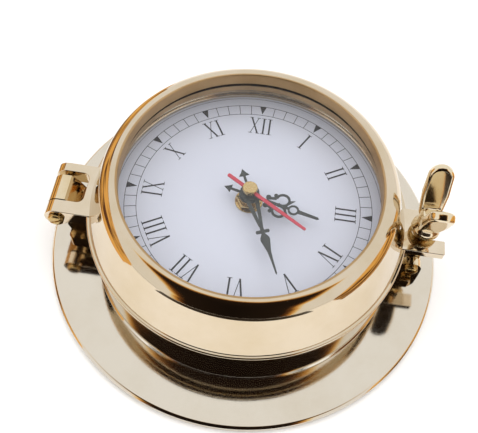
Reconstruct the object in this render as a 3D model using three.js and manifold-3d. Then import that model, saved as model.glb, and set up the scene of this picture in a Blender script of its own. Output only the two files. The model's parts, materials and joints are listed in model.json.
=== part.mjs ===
// Ship's deck clock: a brass porthole case lying on its back, with a hinged glazed door,
// a swing bolt with a wing nut, and a battery movement behind a paper dial.
// Millimetres. +Z points out of the dial, +Y to twelve o'clock, the hinge is at -X.
// The origin is the centre of the mounting flange's back face.
import * as THREE from 'three';
import Module from 'manifold-3d';
import { mergeVertices } from 'three/addons/utils/BufferGeometryUtils.js';

const wasm = await Module();
wasm.setup();

// ---------------------------------------------------------------- driving dimensions
const GAP = 0.3; // between pieces that touch on the real clock
const RUN = 0.07; // radial running clearance of a shaft in its hole
const RING_SIDES = 48;
const SMALL_SIDES = 16;
const PIN_SIDES = 12;
const TINY_SIDES = 8;
const THROUGH = 100; // reach of a cut that goes right through

const FLANGE_R = 88.9; // 7 inch flange
const FLANGE_T = 3.6;
const FLANGE_BORE_R = 61;
const DRUM_R = 67.5;
const DRUM_WALL = 1.8;
const DRUM_TOP_Z = 28.8;
const COLLAR_R = 61.2; // collar inside the door that holds the dial
const COLLAR_BORE_R = 59.4;
const COLLAR_TOP_Z = 38.4;

const DOOR_LIP_R = 69.7;
const DOOR_LIP_Z = 29.4; // underside of the closed door
const DOOR_LIP_BORE_R = 66;
const BEAD_R = 54.6; // centre of the bead's elliptical quarter
const BEAD_Z = 47.5;
const BEAD_W = 8.3;
const BEAD_H = 8.2;
const BEAD_FROM = 17.8; // degrees; the conical skirt leaves the bead as a tangent here
const SKIRT_FOOT = [68.3, 31.6];
const SIGHT_R = 54.3; // bore of the steep wall inside the bead, down to the glass
const LEDGE_UNDER_Z = 50;
const GLASS_R = 57.3;
const GLASS_T = 1.8;
const GASKET_T = 0.4;
const GASKET_BORE_R = 55.4;
const SPRING_R = 55.2; // bore of the ring that holds the glass from below
const SPRING_T = 3;
const SEAL_R = [62.4, 65.4];
const SEAL_T = 2;

const DIAL_Z = 35.9; // printed face of the dial card
const DIAL_R = 59;
const CARD_T = 0.3;
const PLATE_T = 0.8;
const SEAT_R = 55.4; // bore of the ring under the dial
const RIM_R = 58.3; // bore of the ring over the dial
const CUSHION_R = 7.5;
const BUSH_WASHER_R = 6;

const HINGE_X = -81.5;
const HINGE_Y = -3.5; // the hinge sits a little below the three-nine line
const HINGE_Z = 27;
const HINGE_BARREL_R = 5.3;
const HINGE_HALF = 13; // half length of the door's two hinge arms
const KNUCKLE_HALF = 6.3;
const HINGE_PIN_R = 2;
const HINGE_HEAD_R = 3.5;

const LATCH_X = 76.5;
const PIVOT_Z = 10.2;
const PIVOT_PIN_R = 1.8;
const PIVOT_HEAD_R = 3;
const FORK_TOP_Z = 32;
const FORK_T = 3.6;
const FORK_END_X = 85.6;
const FORK_HALF = 10.5;
const SLOT_HALF = 3.7;
const BOLT_R = 3; // M6 stud of the swing bolt
const WASHER_Z = 34.5; // underside of the slackened nut's washer
const WASHER_T = 1;
const NUT_Z = WASHER_Z + WASHER_T + 0.1;
const NUT_SKIRT_R = 6.3;
const NUT_TIP_Z = 64.5;
const EAR_LEAN = 0.36; // radians from the nut's axis
const EAR_W = 9;
const EAR_T = 4.2;

const MOVEMENT_HALF = 28; // the movement is a 56 mm square
const FRONT_Z = 34.2; // outer face of the movement's front case
const CASE_T = 1.2;
const SPLIT_Z = 24.2;
const REAR_Z = 17.4;
const BATTERY_R = 7;
const BATTERY_Y = -19.6;
const BATTERY_Z = 24.8;
const BATTERY_L = 48.5;

const HOUR_ANGLE = 103.5; // degrees clockwise from twelve
const MINUTE_ANGLE = 157;
const SECOND_ANGLE = 122;

// ---------------------------------------------------------------- materials
const brass = { color: 0xd8c08a, roughness: 0.12, metalness: 1 };
const agedBrass = { color: 0xb98f4a, roughness: 0.3, metalness: 1 };
const steel = { color: 0xb8babd, roughness: 0.35, metalness: 1 };
const blackPlastic = { color: 0x17181a, roughness: 0.5, metalness: 0 };
const whitePlastic = { color: 0xe6e3da, roughness: 0.5, metalness: 0 };
const rubber = { color: 0x1c1c1c, roughness: 0.85, metalness: 0 };
const paper = { color: 0xe9e9f2, roughness: 0.7, metalness: 0 };
const aluminium = { color: 0xc6c8ca, roughness: 0.4, metalness: 1 };
const blackPaint = { color: 0x0b0b0c, roughness: 0.35, metalness: 0.2 };
const redPaint = { color: 0xc31a16, roughness: 0.4, metalness: 0.1 };
const copper = { color: 0xb5653a, roughness: 0.35, metalness: 1 };
const glassLook = { color: 0xf2f7f7, roughness: 0.02, metalness: 0 };
const boardGreen = { color: 0x1f5a34, roughness: 0.5, metalness: 0 };
const batteryWrap = { color: 0x2b3340, roughness: 0.4, metalness: 0.2 };

// ---------------------------------------------------------------- solids
const clock = new THREE.Group();

function add(name, look, geometry) {
  const mesh = new THREE.Mesh(geometry, new THREE.MeshStandardMaterial(look));
  mesh.name = name;
  clock.add(mesh);
  return mesh;
}

function toSolid(geometry) {
  const bare = geometry.clone();
  bare.deleteAttribute('normal');
  bare.deleteAttribute('uv');
  const merged = mergeVertices(bare, 1e-4);
  return new wasm.Manifold(new wasm.Mesh({
    numProp: 3,
    vertProperties: new Float32Array(merged.attributes.position.array),
    triVerts: new Uint32Array(merged.index.array),
  }));
}

function toGeometry(solid) {
  const mesh = solid.getMesh();
  const geometry = new THREE.BufferGeometry();
  geometry.setAttribute('position', new THREE.BufferAttribute(mesh.vertProperties, 3));
  geometry.setIndex(new THREE.BufferAttribute(mesh.triVerts, 1));
  geometry.computeVertexNormals();
  return geometry;
}

function join(...geometries) {
  return toGeometry(geometries.map(toSolid).reduce((whole, next) => whole.add(next)));
}

function cut(geometry, ...tools) {
  return toGeometry(tools.map(toSolid).reduce((rest, tool) => rest.subtract(tool), toSolid(geometry)));
}

// the circumradius of a polygon that clears a circle of radius r
const around = (r, sides) => r / Math.cos(Math.PI / sides);

// a solid of revolution about Z from an outline of [radius, height] pairs
function turned(outline, sides) {
  let area = 0;
  outline.forEach(([r, z], i) => {
    const [r2, z2] = outline[(i + 1) % outline.length];
    area += r * z2 - r2 * z;
  });
  const ordered = area > 0 ? outline.slice() : outline.slice().reverse();
  const before = (i) => ordered[(i + ordered.length - 1) % ordered.length];
  const onAxis = ordered.findIndex(([r], i) => r === 0 && before(i)[0] === 0);
  const start = onAxis < 0 ? ordered : [...ordered.slice(onAxis), ...ordered.slice(0, onAxis)];
  const closed = onAxis < 0 ? [...start, start[0]] : start;
  const points = closed.map(([r, z]) => new THREE.Vector2(r, z));
  return new THREE.LatheGeometry(points, sides).rotateX(Math.PI / 2);
}

const disc = (r, z0, z1, sides) => turned([[0, z0], [r, z0], [r, z1], [0, z1]], sides);
const ring = (r0, r1, z0, z1, sides) => turned([[r0, z0], [r1, z0], [r1, z1], [r0, z1]], sides);

function box(x0, x1, y0, y1, z0, z1) {
  return new THREE.BoxGeometry(x1 - x0, y1 - y0, z1 - z0)
    .translate((x0 + x1) / 2, (y0 + y1) / 2, (z0 + z1) / 2);
}

// a rod along Y from y0 to y1, centred on (x, z)
function rodY(r, x, z, y0, y1, sides) {
  return disc(r, 0, y1 - y0, sides).rotateX(-Math.PI / 2).translate(x, y0, z);
}
const at = (geometry, x, y, z = 0) => geometry.translate(x, y, z);

// cutters for a round hole of radius r that goes right through, along Z and along Y
const bore = (r, sides) => disc(around(r, sides), -THROUGH, THROUGH, sides);
const boreY = (r, x, z, sides) => rodY(around(r, sides), x, z, -THROUGH, THROUGH, sides);

// an outline of [x, y] pairs extruded from z0 to z1, with optional holes
function plate(outline, z0, z1, holes = []) {
  const shape = new THREE.Shape(outline.map(([x, y]) => new THREE.Vector2(x, y)));
  holes.forEach((hole) => shape.holes.push(new THREE.Path(hole.map(([x, y]) => new THREE.Vector2(x, y)))));
  return new THREE.ExtrudeGeometry(shape, { depth: z1 - z0, bevelEnabled: false, curveSegments: 8 })
    .translate(0, 0, z0);
}

// points of an arc, degrees from a0 to a1
function arc(cx, cy, r, a0, a1, steps) {
  return Array.from({ length: steps + 1 }, (_, i) => {
    const a = THREE.MathUtils.degToRad(a0 + ((a1 - a0) * i) / steps);
    return [cx + r * Math.cos(a), cy + r * Math.sin(a)];
  });
}
const polar = (r, degrees) => arc(0, 0, r, degrees, degrees, 1)[0];
const circle = (cx, cy, r, sides) => arc(cx, cy, r, 0, 360 - 360 / sides, sides - 1);

// an outline in the XZ plane extruded from y0 to y1
function plateY(outline, y0, y1) {
  return plate(outline, 0, y1 - y0).rotateX(Math.PI / 2).translate(0, y1, 0);
}

// ---------------------------------------------------------------- gears
const TOOTH_ROOT = 0.46; // tooth width at the root, in pitches
const TOOTH_TIP = 0.2;
const ADDENDUM = 0.75; // in modules
const DEDENDUM = 1.05;
const MOST_LEAVES = 12; // gears up to this size are pinions

// a pinion's teeth have flat tips, and a wheel's many small teeth come to a point
function gearOutline(teeth, module, phase) {
  const tip = module * (teeth / 2 + ADDENDUM);
  const root = module * (teeth / 2 - DEDENDUM);
  const pitch = 360 / teeth;
  const points = [];
  for (let i = 0; i < teeth; i += 1) {
    const middle = phase + i * pitch;
    points.push(polar(root, middle - (TOOTH_ROOT / 2) * pitch));
    if (teeth > MOST_LEAVES) {
      points.push(polar(tip, middle));
    } else {
      points.push(polar(tip, middle - (TOOTH_TIP / 2) * pitch));
      points.push(polar(tip, middle + (TOOTH_TIP / 2) * pitch));
    }
    points.push(polar(root, middle + (TOOTH_ROOT / 2) * pitch));
  }
  return points;
}

function gear(teeth, module, z0, z1, phase = 0) {
  return plate(gearOutline(teeth, module, phase), z0, z1);
}

// the phase that puts a space of the driven gear on the line of centres at that angle,
// where its mate has a tooth
const toothAt = (angle) => angle;
const spaceAt = (angle, teeth) => angle + 180 / teeth;

// ---------------------------------------------------------------- case
const SCREW_R = 1.5;
const SCREW_HEAD_R = 2.8;
const SCREW_HEAD_Z = 0.3;
const SCREW_HEAD_T = 1.5;
const FOOT_TOP_Z = 6.6;
const HINGE_SCREWS = [[-75.6, HINGE_Y - 7.8], [-75.6, HINGE_Y + 7.8]];
const LATCH_SCREWS = [[74, -9.3], [74, 9.3]];
const SCREW_TIP_Z = 6;
const SCREW_HOLE_TOP_Z = 6.2;
const SCREW_SLOT_HALF = 0.4;
const SCREW_SLOT_DEPTH = 0.8;
const SKIN = 0.1; // the least gap between two pieces
const FLANGE_EDGE_ROUND = 2.2;
const ON_FLANGE_Z = FLANGE_T + SKIN;
const BEAD_FOOT_W = 0.9; // small turned step where the drum meets the flange
const BEAD_FOOT_T = 0.6;
const BEAD_FOOT_TOP = 1.6;

function screwHole([x, y]) {
  const seat = around(SCREW_HEAD_R + GAP, PIN_SIDES);
  return [
    at(bore(SCREW_R + RUN, PIN_SIDES), x, y),
    at(disc(seat, -FLANGE_T, SCREW_HEAD_Z + SCREW_HEAD_T + SKIN, PIN_SIDES), x, y),
  ];
}

function mountingFlange() {
  const round = FLANGE_EDGE_ROUND;
  const edge = arc(FLANGE_R - round, FLANGE_T - round, round, 0, 90, 5);
  const body = turned([[FLANGE_BORE_R, 0], [FLANGE_R, 0], ...edge, [FLANGE_BORE_R, FLANGE_T]], RING_SIDES);
  return cut(body, ...[...HINGE_SCREWS, ...LATCH_SCREWS].flatMap(screwHole));
}

function caseDrum() {
  const z0 = ON_FLANGE_Z;
  const shelfZ = DRUM_TOP_Z - DRUM_WALL;
  const footR = DRUM_R + BEAD_FOOT_W;
  return turned([
    [DRUM_R - DRUM_WALL, z0], [footR, z0], [footR, z0 + BEAD_FOOT_T], [DRUM_R, z0 + BEAD_FOOT_TOP],
    [DRUM_R, DRUM_TOP_Z], [COLLAR_R, DRUM_TOP_Z], [COLLAR_R, COLLAR_TOP_Z],
    [COLLAR_BORE_R, COLLAR_TOP_Z], [COLLAR_BORE_R, shelfZ], [DRUM_R - DRUM_WALL, shelfZ],
  ], RING_SIDES);
}

function screw([x, y]) {
  const body = join(
    disc(SCREW_HEAD_R, SCREW_HEAD_Z, SCREW_HEAD_Z + SCREW_HEAD_T, PIN_SIDES),
    disc(SCREW_R, SCREW_HEAD_Z + SCREW_HEAD_T - SKIN, SCREW_TIP_Z, PIN_SIDES),
  );
  const half = SCREW_SLOT_HALF;
  const slot = box(-THROUGH, THROUGH, -half, half, 0, SCREW_HEAD_Z + SCREW_SLOT_DEPTH);
  return at(cut(body, slot), x, y);
}

function footHoles(places) {
  const r = around(SCREW_R + RUN, PIN_SIDES);
  return places.map(([x, y]) => at(disc(r, 0, SCREW_HOLE_TOP_Z, PIN_SIDES), x, y));
}

// the case's half of the hinge: a foot on the flange, a tapering post and a squared knuckle
const HINGE_FOOT_X = [-79.5, -69.5];
const HINGE_FOOT_HALF = 11;
const HINGE_FOOT_TOP_Z = 7.4;
const POST_FOOT_X = -77.7;
const POST_WAIST = [-80.1, 18];
const KNUCKLE_TOP_X = -78.6;
const KNUCKLE_BACK = [[-75.8, 29], [-71.3, 22], [-69.5, 15]];
function hingeBracket() {
  const post = [
    [HINGE_FOOT_X[1], ON_FLANGE_Z], [POST_FOOT_X, ON_FLANGE_Z], POST_WAIST,
    [HINGE_X - HINGE_BARREL_R, HINGE_Z - 2],
    ...arc(HINGE_X, HINGE_Z, HINGE_BARREL_R, 180, 90, 6),
    [KNUCKLE_TOP_X, HINGE_Z + HINGE_BARREL_R], ...KNUCKLE_BACK,
  ];
  const half = HINGE_FOOT_HALF;
  const foot = box(...HINGE_FOOT_X, HINGE_Y - half, HINGE_Y + half, ON_FLANGE_Z, HINGE_FOOT_TOP_Z);
  return cut(
    join(plateY(post, HINGE_Y - KNUCKLE_HALF, HINGE_Y + KNUCKLE_HALF), foot),
    boreY(HINGE_PIN_R + RUN, HINGE_X, HINGE_Z, SMALL_SIDES),
    ...footHoles(HINGE_SCREWS),
  );
}

// a pivot pin along Y: a slotted head in front of the lug that ends at -half, and a shank
const PIN_HEAD_T = 1.8;
const PIN_SLOT_DEPTH = 0.9;
const PIN_SLOT_HALF = 0.5;
const PIN_HEAD_GAP = 0.2;
function slottedPin(x, z, half, headR, shankR) {
  const face = -half - PIN_HEAD_GAP - PIN_HEAD_T;
  const head = rodY(headR, x, z, face, -half - PIN_HEAD_GAP, SMALL_SIDES);
  const shank = rodY(shankR, x, z, -half - GAP, half + GAP, SMALL_SIDES);
  const top = z + PIN_SLOT_HALF;
  const slot = box(x - THROUGH, x + THROUGH, -THROUGH, face + PIN_SLOT_DEPTH, z - PIN_SLOT_HALF, top);
  return cut(join(head, shank), slot);
}

// the case's half of the latch: a foot and two ears that carry the swing bolt's pivot
const EAR_IN = 3.6;
const EAR_OUT = 7;
const EAR_ROUND = 4.4;
const EAR_BACK_Z = 13.6;
const LATCH_FOOT_X = [69.1, 77.1];
const LATCH_FOOT_HALF = 11.8;
const LATCH_BASE_T = 1.6;
function latchBracket() {
  const z0 = ON_FLANGE_Z;
  const [inner, outer] = LATCH_FOOT_X;
  const base = box(inner, LATCH_X + EAR_ROUND, -EAR_OUT, EAR_OUT, z0, z0 + LATCH_BASE_T);
  const side = [
    [inner, z0], [LATCH_X + EAR_ROUND, z0],
    ...arc(LATCH_X, PIVOT_Z, EAR_ROUND, 0, 120, 6), [inner, EAR_BACK_Z],
  ];
  return cut(
    join(
      base,
      box(inner, outer, -LATCH_FOOT_HALF, -EAR_IN, z0, FOOT_TOP_Z),
      box(inner, outer, EAR_IN, LATCH_FOOT_HALF, z0, FOOT_TOP_Z),
      plateY(side, -EAR_OUT, -EAR_IN),
      plateY(side, EAR_IN, EAR_OUT),
    ),
    boreY(PIVOT_PIN_R + RUN, LATCH_X, PIVOT_Z, SMALL_SIDES),
    ...footHoles(LATCH_SCREWS),
  );
}

// ---------------------------------------------------------------- door
const GAP_ROUND_R = 3; // the gap for the knuckle has two rounded inner corners
const GAP_ROUND_X = HINGE_X + 7.5;
const GAP_Y = [HINGE_Y - KNUCKLE_HALF - 0.35, HINGE_Y + KNUCKLE_HALF + 2.3]; // the knuckle sits low in it
const LUG_IN = 64.5; // where the lugs end inside the ring's wall
const LUG_TOP_Z = 32;
const LUG_UNDER_Z = 24.4;
const FORK_CORNER = 1.2;
const FORK_ROUND_X = 75.1; // centre of the slot's round end
const SKIRT_IN = [[60.3, 40.4], [63.4, 35.6]]; // inner side of the skirt
const CLEAR_OF_DRUM = 0.8;

// the turned ring: a lip, a conical skirt, a bead and a steep inner wall down to the glass
function bezelBody() {
  const bead = arc(0, 0, 1, BEAD_FROM, 90, 7).map(([x, y]) => [BEAD_R + BEAD_W * x, BEAD_Z + BEAD_H * y]);
  return turned([
    [DOOR_LIP_BORE_R, DOOR_LIP_Z], [DOOR_LIP_R - 0.5, DOOR_LIP_Z], [DOOR_LIP_R, DOOR_LIP_Z + 0.5],
    [DOOR_LIP_R, DOOR_LIP_Z + 1.5], [DOOR_LIP_R - 0.5, DOOR_LIP_Z + 2], SKIRT_FOOT,
    ...bead, [SIGHT_R + 0.1, BEAD_Z + BEAD_H - 0.1], [SIGHT_R, BEAD_Z + BEAD_H - 0.4],
    [SIGHT_R, LEDGE_UNDER_Z], [GLASS_R + 0.3, LEDGE_UNDER_Z], [GLASS_R + 0.3, BEAD_Z - 3.3], ...SKIRT_IN,
    [DOOR_LIP_BORE_R, DOOR_LIP_Z + 1.6],
  ], RING_SIDES);
}

// the ring with its hinge lug and its latch fork
function bezelRing() {
  const lug = join(
    box(HINGE_X, -LUG_IN, HINGE_Y - HINGE_HALF, HINGE_Y + HINGE_HALF, LUG_UNDER_Z, LUG_TOP_Z),
    rodY(HINGE_BARREL_R, HINGE_X, HINGE_Z, HINGE_Y - HINGE_HALF, HINGE_Y + HINGE_HALF, SMALL_SIDES + 8),
  );
  const cornerX = FORK_END_X - FORK_CORNER;
  const cornerY = FORK_HALF - FORK_CORNER;
  const fork = plate([
    [LUG_IN, -FORK_HALF], [cornerX, -FORK_HALF], [FORK_END_X, -cornerY],
    [FORK_END_X, -SLOT_HALF], ...arc(FORK_ROUND_X, 0, SLOT_HALF, -90, -270, 8),
    [FORK_END_X, SLOT_HALF], [FORK_END_X, cornerY], [cornerX, FORK_HALF], [LUG_IN, FORK_HALF],
  ], FORK_TOP_Z - FORK_T, FORK_TOP_Z);
  // the two lugs stop short of the drum, the collar and the seal inside the ring
  const inside = disc(DRUM_R + CLEAR_OF_DRUM, 0, DOOR_LIP_Z, RING_SIDES);
  const hollow = turned([
    [0, DOOR_LIP_Z - 1], [DOOR_LIP_BORE_R, DOOR_LIP_Z - 1], [DOOR_LIP_BORE_R, DOOR_LIP_Z + 1.6],
    SKIRT_IN[1], [0, SKIRT_IN[1][1]],
  ], RING_SIDES);
  const [low, high] = GAP_Y;
  const knuckleGap = plate([
    [-THROUGH, low], ...arc(GAP_ROUND_X, low + GAP_ROUND_R, GAP_ROUND_R, -90, 0, 4),
    ...arc(GAP_ROUND_X, high - GAP_ROUND_R, GAP_ROUND_R, 0, 90, 4), [-THROUGH, high],
  ], 0, THROUGH);
  return cut(
    join(bezelBody(), cut(lug, inside, hollow), cut(fork, inside, hollow)),
    knuckleGap,
    boreY(HINGE_PIN_R + RUN, HINGE_X, HINGE_Z, SMALL_SIDES),
  );
}

const GLASS_TOP_Z = LEDGE_UNDER_Z - GASKET_T - 0.2;
const GLASS_UNDER_Z = GLASS_TOP_Z - GLASS_T;

// ---------------------------------------------------------------- swing bolt and nut
const BOLT_TOP_Z = 41.5;
const BOLT_EYE_R = 4.1;
const NECK_TOP_Z = FORK_TOP_Z - FORK_T - 1;
const NUT_DOWN = 2.3; // travel of the slackened nut down to the fork
const THREAD_TOP_Z = BOLT_TOP_Z + NUT_DOWN + GAP;
const HUB_SIDES = 24;
const EAR_ROOT_Z = 4.5; // above the nut's underside
const EAR_ROOT_Y = 3.2;
function swingBolt() {
  const eyeHalf = EAR_IN - GAP;
  const eye = rodY(BOLT_EYE_R, LATCH_X, PIVOT_Z, -eyeHalf, eyeHalf, SMALL_SIDES + 4);
  const neck = box(LATCH_X - BOLT_R, LATCH_X + BOLT_R, -BOLT_R, BOLT_R, PIVOT_Z + 1, NECK_TOP_Z);
  const stud = at(disc(BOLT_R, NECK_TOP_Z - 1, BOLT_TOP_Z, SMALL_SIDES), LATCH_X, 0);
  return cut(join(eye, neck, stud), boreY(PIVOT_PIN_R + RUN, LATCH_X, PIVOT_Z, SMALL_SIDES));
}

function clampWasher() {
  const hole = around(BOLT_R + RUN, SMALL_SIDES);
  return at(ring(hole, NUT_SKIRT_R, WASHER_Z, WASHER_Z + WASHER_T, HUB_SIDES), LATCH_X, 0);
}

// one ear: a broad tongue with a round end that leans away from the nut's axis
function nutEar(side) {
  const length = (NUT_TIP_Z - NUT_Z - EAR_ROOT_Z - 0.5) / Math.cos(EAR_LEAN);
  const half = EAR_W / 2;
  const tongue = plateY([
    [-half - 1, 0], [half + 1, 0], [half, length * 0.35],
    ...arc(0, length - half, half, 0, 180, 8), [-half, length * 0.35],
  ], -EAR_T / 2, EAR_T / 2);
  return tongue.rotateX(-EAR_LEAN * side).translate(0, EAR_ROOT_Y * side, NUT_Z + EAR_ROOT_Z);
}

function wingNut() {
  const hub = turned([
    [0, NUT_Z], [NUT_SKIRT_R, NUT_Z], [NUT_SKIRT_R, NUT_Z + 1.2], [5.2, NUT_Z + 4],
    [5.2, NUT_Z + 9], [4, NUT_Z + 10.4], [0, NUT_Z + 10.4],
  ], HUB_SIDES);
  const thread = disc(around(BOLT_R + RUN, SMALL_SIDES), 0, THREAD_TOP_Z, SMALL_SIDES);
  return at(cut(join(hub, nutEar(1), nutEar(-1)), thread), LATCH_X, 0);
}

// ---------------------------------------------------------------- movement
const ARBOR_R = 0.5;
const ARBOR_TOP_Z = 45.7;
const CANNON_R = 1.05;
const CANNON_TOP_Z = 43.9;
const PIPE_TOP_Z = 41.9;
const KNOB_SHAFT_R = 1.5;
const KNOB_GRIP_TEETH = 18;
const KNOB_GRIP_M = 0.48;
const KNOB_GRIP_T = 3.9;
const PIPE_R = 1.85;
const BUSH_R = 4;
const BUSH_TOP_Z = 40.4;

const SECONDS_M = 0.36; // intermediate pinion 8 into seconds wheel 48
const ROTOR_M = 0.34; // rotor pinion 8 into intermediate wheel 40
const THIRD_M = 0.36; // seconds pinion 8 into third wheel 60
const MINUTE_M = 0.34; // third pinion 8 into minute wheel 64
const CANNON_M = 0.4; // cannon pinion 12 into motion wheel 36
const HOUR_M = 0.384; // motion pinion 10 into hour wheel 40
const PINION = 8;

const THIRD_ANGLE = 20;
const THIRD = polar((THIRD_M * (PINION + 60)) / 2, THIRD_ANGLE);
const INTER_ANGLE = 128;
const INTER = polar((SECONDS_M * (PINION + 48)) / 2, INTER_ANGLE);
const ROTOR_ANGLE = 150; // seen from the intermediate wheel
const ROTOR_STEP = polar((ROTOR_M * (PINION + 40)) / 2, ROTOR_ANGLE);
const ROTOR = [INTER[0] + ROTOR_STEP[0], INTER[1] + ROTOR_STEP[1]];
const MOTION_ANGLE = 180;
const MOTION = polar((CANNON_M * (12 + 36)) / 2, MOTION_ANGLE);
const KNOB_ANGLE = 170; // the motion wheel has a tooth space here
const KNOB_STEP = polar((CANNON_M * (12 + 36)) / 2, KNOB_ANGLE);
const KNOB = [MOTION[0] + KNOB_STEP[0], MOTION[1] + KNOB_STEP[1]];

const HOUR_LEVEL = [31.2, 32.2];
const MOTION_LEVEL = [29.4, 30.4];
const MINUTE_LEVEL = [27.6, 28.4];
const THIRD_LEVEL = [25.7, 26.4];
const MIDDLE_PLATE = [24.7, 25.2];
const SECONDS_LEVEL = [23.4, 24.1];
const INTER_LEVEL = [21.7, 22.4];
const REAR_INNER = REAR_Z + CASE_T;
const PIVOT_R = 0.5;
const POSTS = [[-20, -9], [23, -9], [-20, 24], [23, 24]]; // they hold the middle plate
const POST_R = 1.6;
const CORNER_CUT = 2.4; // the movement's corners are cut off at 45 degrees
const INNER_CORNER_CUT = 2;
const BAY_HALF_L = BATTERY_L / 2 + 3;
const BAY_WALL_Y = BATTERY_Y + BATTERY_R + 0.6;

function square(half, inset) {
  return [
    [-half + inset, -half], [half - inset, -half], [half, -half + inset], [half, half - inset],
    [half - inset, half], [-half + inset, half], [-half, half - inset], [-half, -half + inset],
  ];
}

// front half of the movement's plastic case, with the bush hole and the train's front pivots
function movementFrontCase() {
  const h = MOVEMENT_HALF;
  const inner = FRONT_Z - CASE_T;
  const shell = cut(
    plate(square(h, CORNER_CUT), SPLIT_Z, FRONT_Z),
    plate(square(h - CASE_T, INNER_CORNER_CUT), SPLIT_Z - 1, inner),
  );
  const boss = (place, r, z) => at(disc(r, z, inner + 0.2, TINY_SIDES), ...place);
  const studs = [
    boss(THIRD, 1.4, MINUTE_LEVEL[1] + 1.2),
    boss(MOTION, PIVOT_R, MOTION_LEVEL[0] - 0.6),
    boss(KNOB, 1.3, MOTION_LEVEL[1] + 0.6),
    ...POSTS.map((place) => boss(place, POST_R, MIDDLE_PLATE[1] + 0.2)),
  ];
  const hole = around(PIVOT_R + RUN, TINY_SIDES);
  const socket = (place, z) => at(disc(hole, z, inner, TINY_SIDES), ...place);
  return cut(
    join(shell, ...studs),
    bore(BUSH_R + RUN, SMALL_SIDES),
    socket(THIRD, MINUTE_LEVEL[1] + 1),
    socket(KNOB, MOTION_LEVEL[1] + 0.4),
    box(-BAY_HALF_L, BAY_HALF_L, -THROUGH, -h + 3, SPLIT_Z - 1, BATTERY_Z + 5),
  );
}

// rear half of the case, open over the battery bay
function movementRearCase() {
  const h = MOVEMENT_HALF;
  const top = SPLIT_Z - 0.1;
  const shell = cut(
    plate(square(h, CORNER_CUT), REAR_Z, top),
    plate(square(h - CASE_T, INNER_CORNER_CUT), REAR_INNER, top + 1),
  );
  const wall = box(-h + 1, h - 1, BAY_WALL_Y, BAY_WALL_Y + 1, REAR_Z + 0.5, top);
  const stand = (r, z, place) => at(disc(r, REAR_INNER - 0.2, z, TINY_SIDES), ...place);
  const posts = POSTS.map((place) => stand(POST_R, MIDDLE_PLATE[0] - 0.2, place));
  const bosses = [[0, 0], INTER].map((place) => stand(1.5, REAR_INNER + 1.2, place));
  const hole = around(PIVOT_R + RUN, TINY_SIDES);
  const socket = (depth, place) => at(disc(hole, REAR_INNER - depth, SPLIT_Z, TINY_SIDES), ...place);
  return cut(
    join(shell, wall, ...posts, ...bosses),
    socket(0.4, [0, 0]),
    socket(0.4, INTER),
    socket(0.7, ROTOR),
    at(bore(KNOB_SHAFT_R + RUN, SMALL_SIDES), ...KNOB),
    box(-BAY_HALF_L + 0.6, BAY_HALF_L - 0.6, -THROUGH, BAY_WALL_Y - 0.3, 0, REAR_INNER + 0.6),
    box(-BAY_HALF_L, BAY_HALF_L, -THROUGH, -h + 3, 0, THROUGH),
  );
}

const MIDDLE_X = [-23, 25.6];
const MIDDLE_Y = [-11, 26];
function middlePlate() {
  const hole = around(PIVOT_R + RUN, TINY_SIDES);
  const holes = [
    circle(0, 0, 1.2, TINY_SIDES),
    ...[THIRD, INTER, ROTOR].map((place) => circle(...place, hole, TINY_SIDES)),
    circle(...KNOB, 2.2, TINY_SIDES),
  ];
  const [x0, x1] = MIDDLE_X;
  const [y0, y1] = MIDDLE_Y;
  return plate([[x0, y0], [x1, y0], [x1, y1], [x0, y1]], ...MIDDLE_PLATE, holes);
}

function rotor() {
  const phase = spaceAt(ROTOR_ANGLE + 180, PINION) + 180 / PINION;
  return at(join(
    disc(PIVOT_R, REAR_INNER - 0.5, MIDDLE_PLATE[1], 8),
    disc(3.4, REAR_INNER + 0.5, INTER_LEVEL[0] - 0.5, SMALL_SIDES),
    gear(PINION, ROTOR_M, INTER_LEVEL[0] - 0.2, INTER_LEVEL[1] + 0.2, phase),
  ), ...ROTOR);
}

function intermediateWheel() {
  return at(join(
    disc(PIVOT_R, REAR_INNER - 0.1, MIDDLE_PLATE[1], 8),
    gear(40, ROTOR_M, ...INTER_LEVEL, spaceAt(ROTOR_ANGLE, 40)),
    gear(PINION, SECONDS_M, SECONDS_LEVEL[0] - 0.2, SECONDS_LEVEL[1] + 0.2, toothAt(INTER_ANGLE + 180)),
  ), ...INTER);
}

function secondsWheel() {
  return join(
    disc(ARBOR_R, REAR_INNER - 0.1, ARBOR_TOP_Z, 10),
    gear(48, SECONDS_M, ...SECONDS_LEVEL, spaceAt(INTER_ANGLE, 48)),
    gear(PINION, THIRD_M, THIRD_LEVEL[0] - 0.2, THIRD_LEVEL[1] + 0.2, toothAt(THIRD_ANGLE)),
  );
}

function thirdWheel() {
  return at(join(
    disc(PIVOT_R, MIDDLE_PLATE[0], MINUTE_LEVEL[1] + 2, 8),
    gear(60, THIRD_M, ...THIRD_LEVEL, spaceAt(THIRD_ANGLE + 180, 60)),
    gear(PINION, MINUTE_M, MINUTE_LEVEL[0] - 0.2, MINUTE_LEVEL[1] + 0.2, toothAt(THIRD_ANGLE + 180)),
  ), ...THIRD);
}

function minuteWheel() {
  const hole = circle(0, 0, around(CANNON_R + RUN, 12), 12);
  return plate(gearOutline(64, MINUTE_M, spaceAt(THIRD_ANGLE, 64)), ...MINUTE_LEVEL, [hole]);
}

function cannonPinion() {
  return cut(
    join(
      disc(CANNON_R, MINUTE_LEVEL[0] - 0.6, CANNON_TOP_Z, PIN_SIDES),
      gear(12, CANNON_M, MOTION_LEVEL[0] - 0.2, MOTION_LEVEL[1] + 0.2, toothAt(MOTION_ANGLE)),
    ),
    bore(ARBOR_R + RUN, PIN_SIDES),
  );
}

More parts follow.
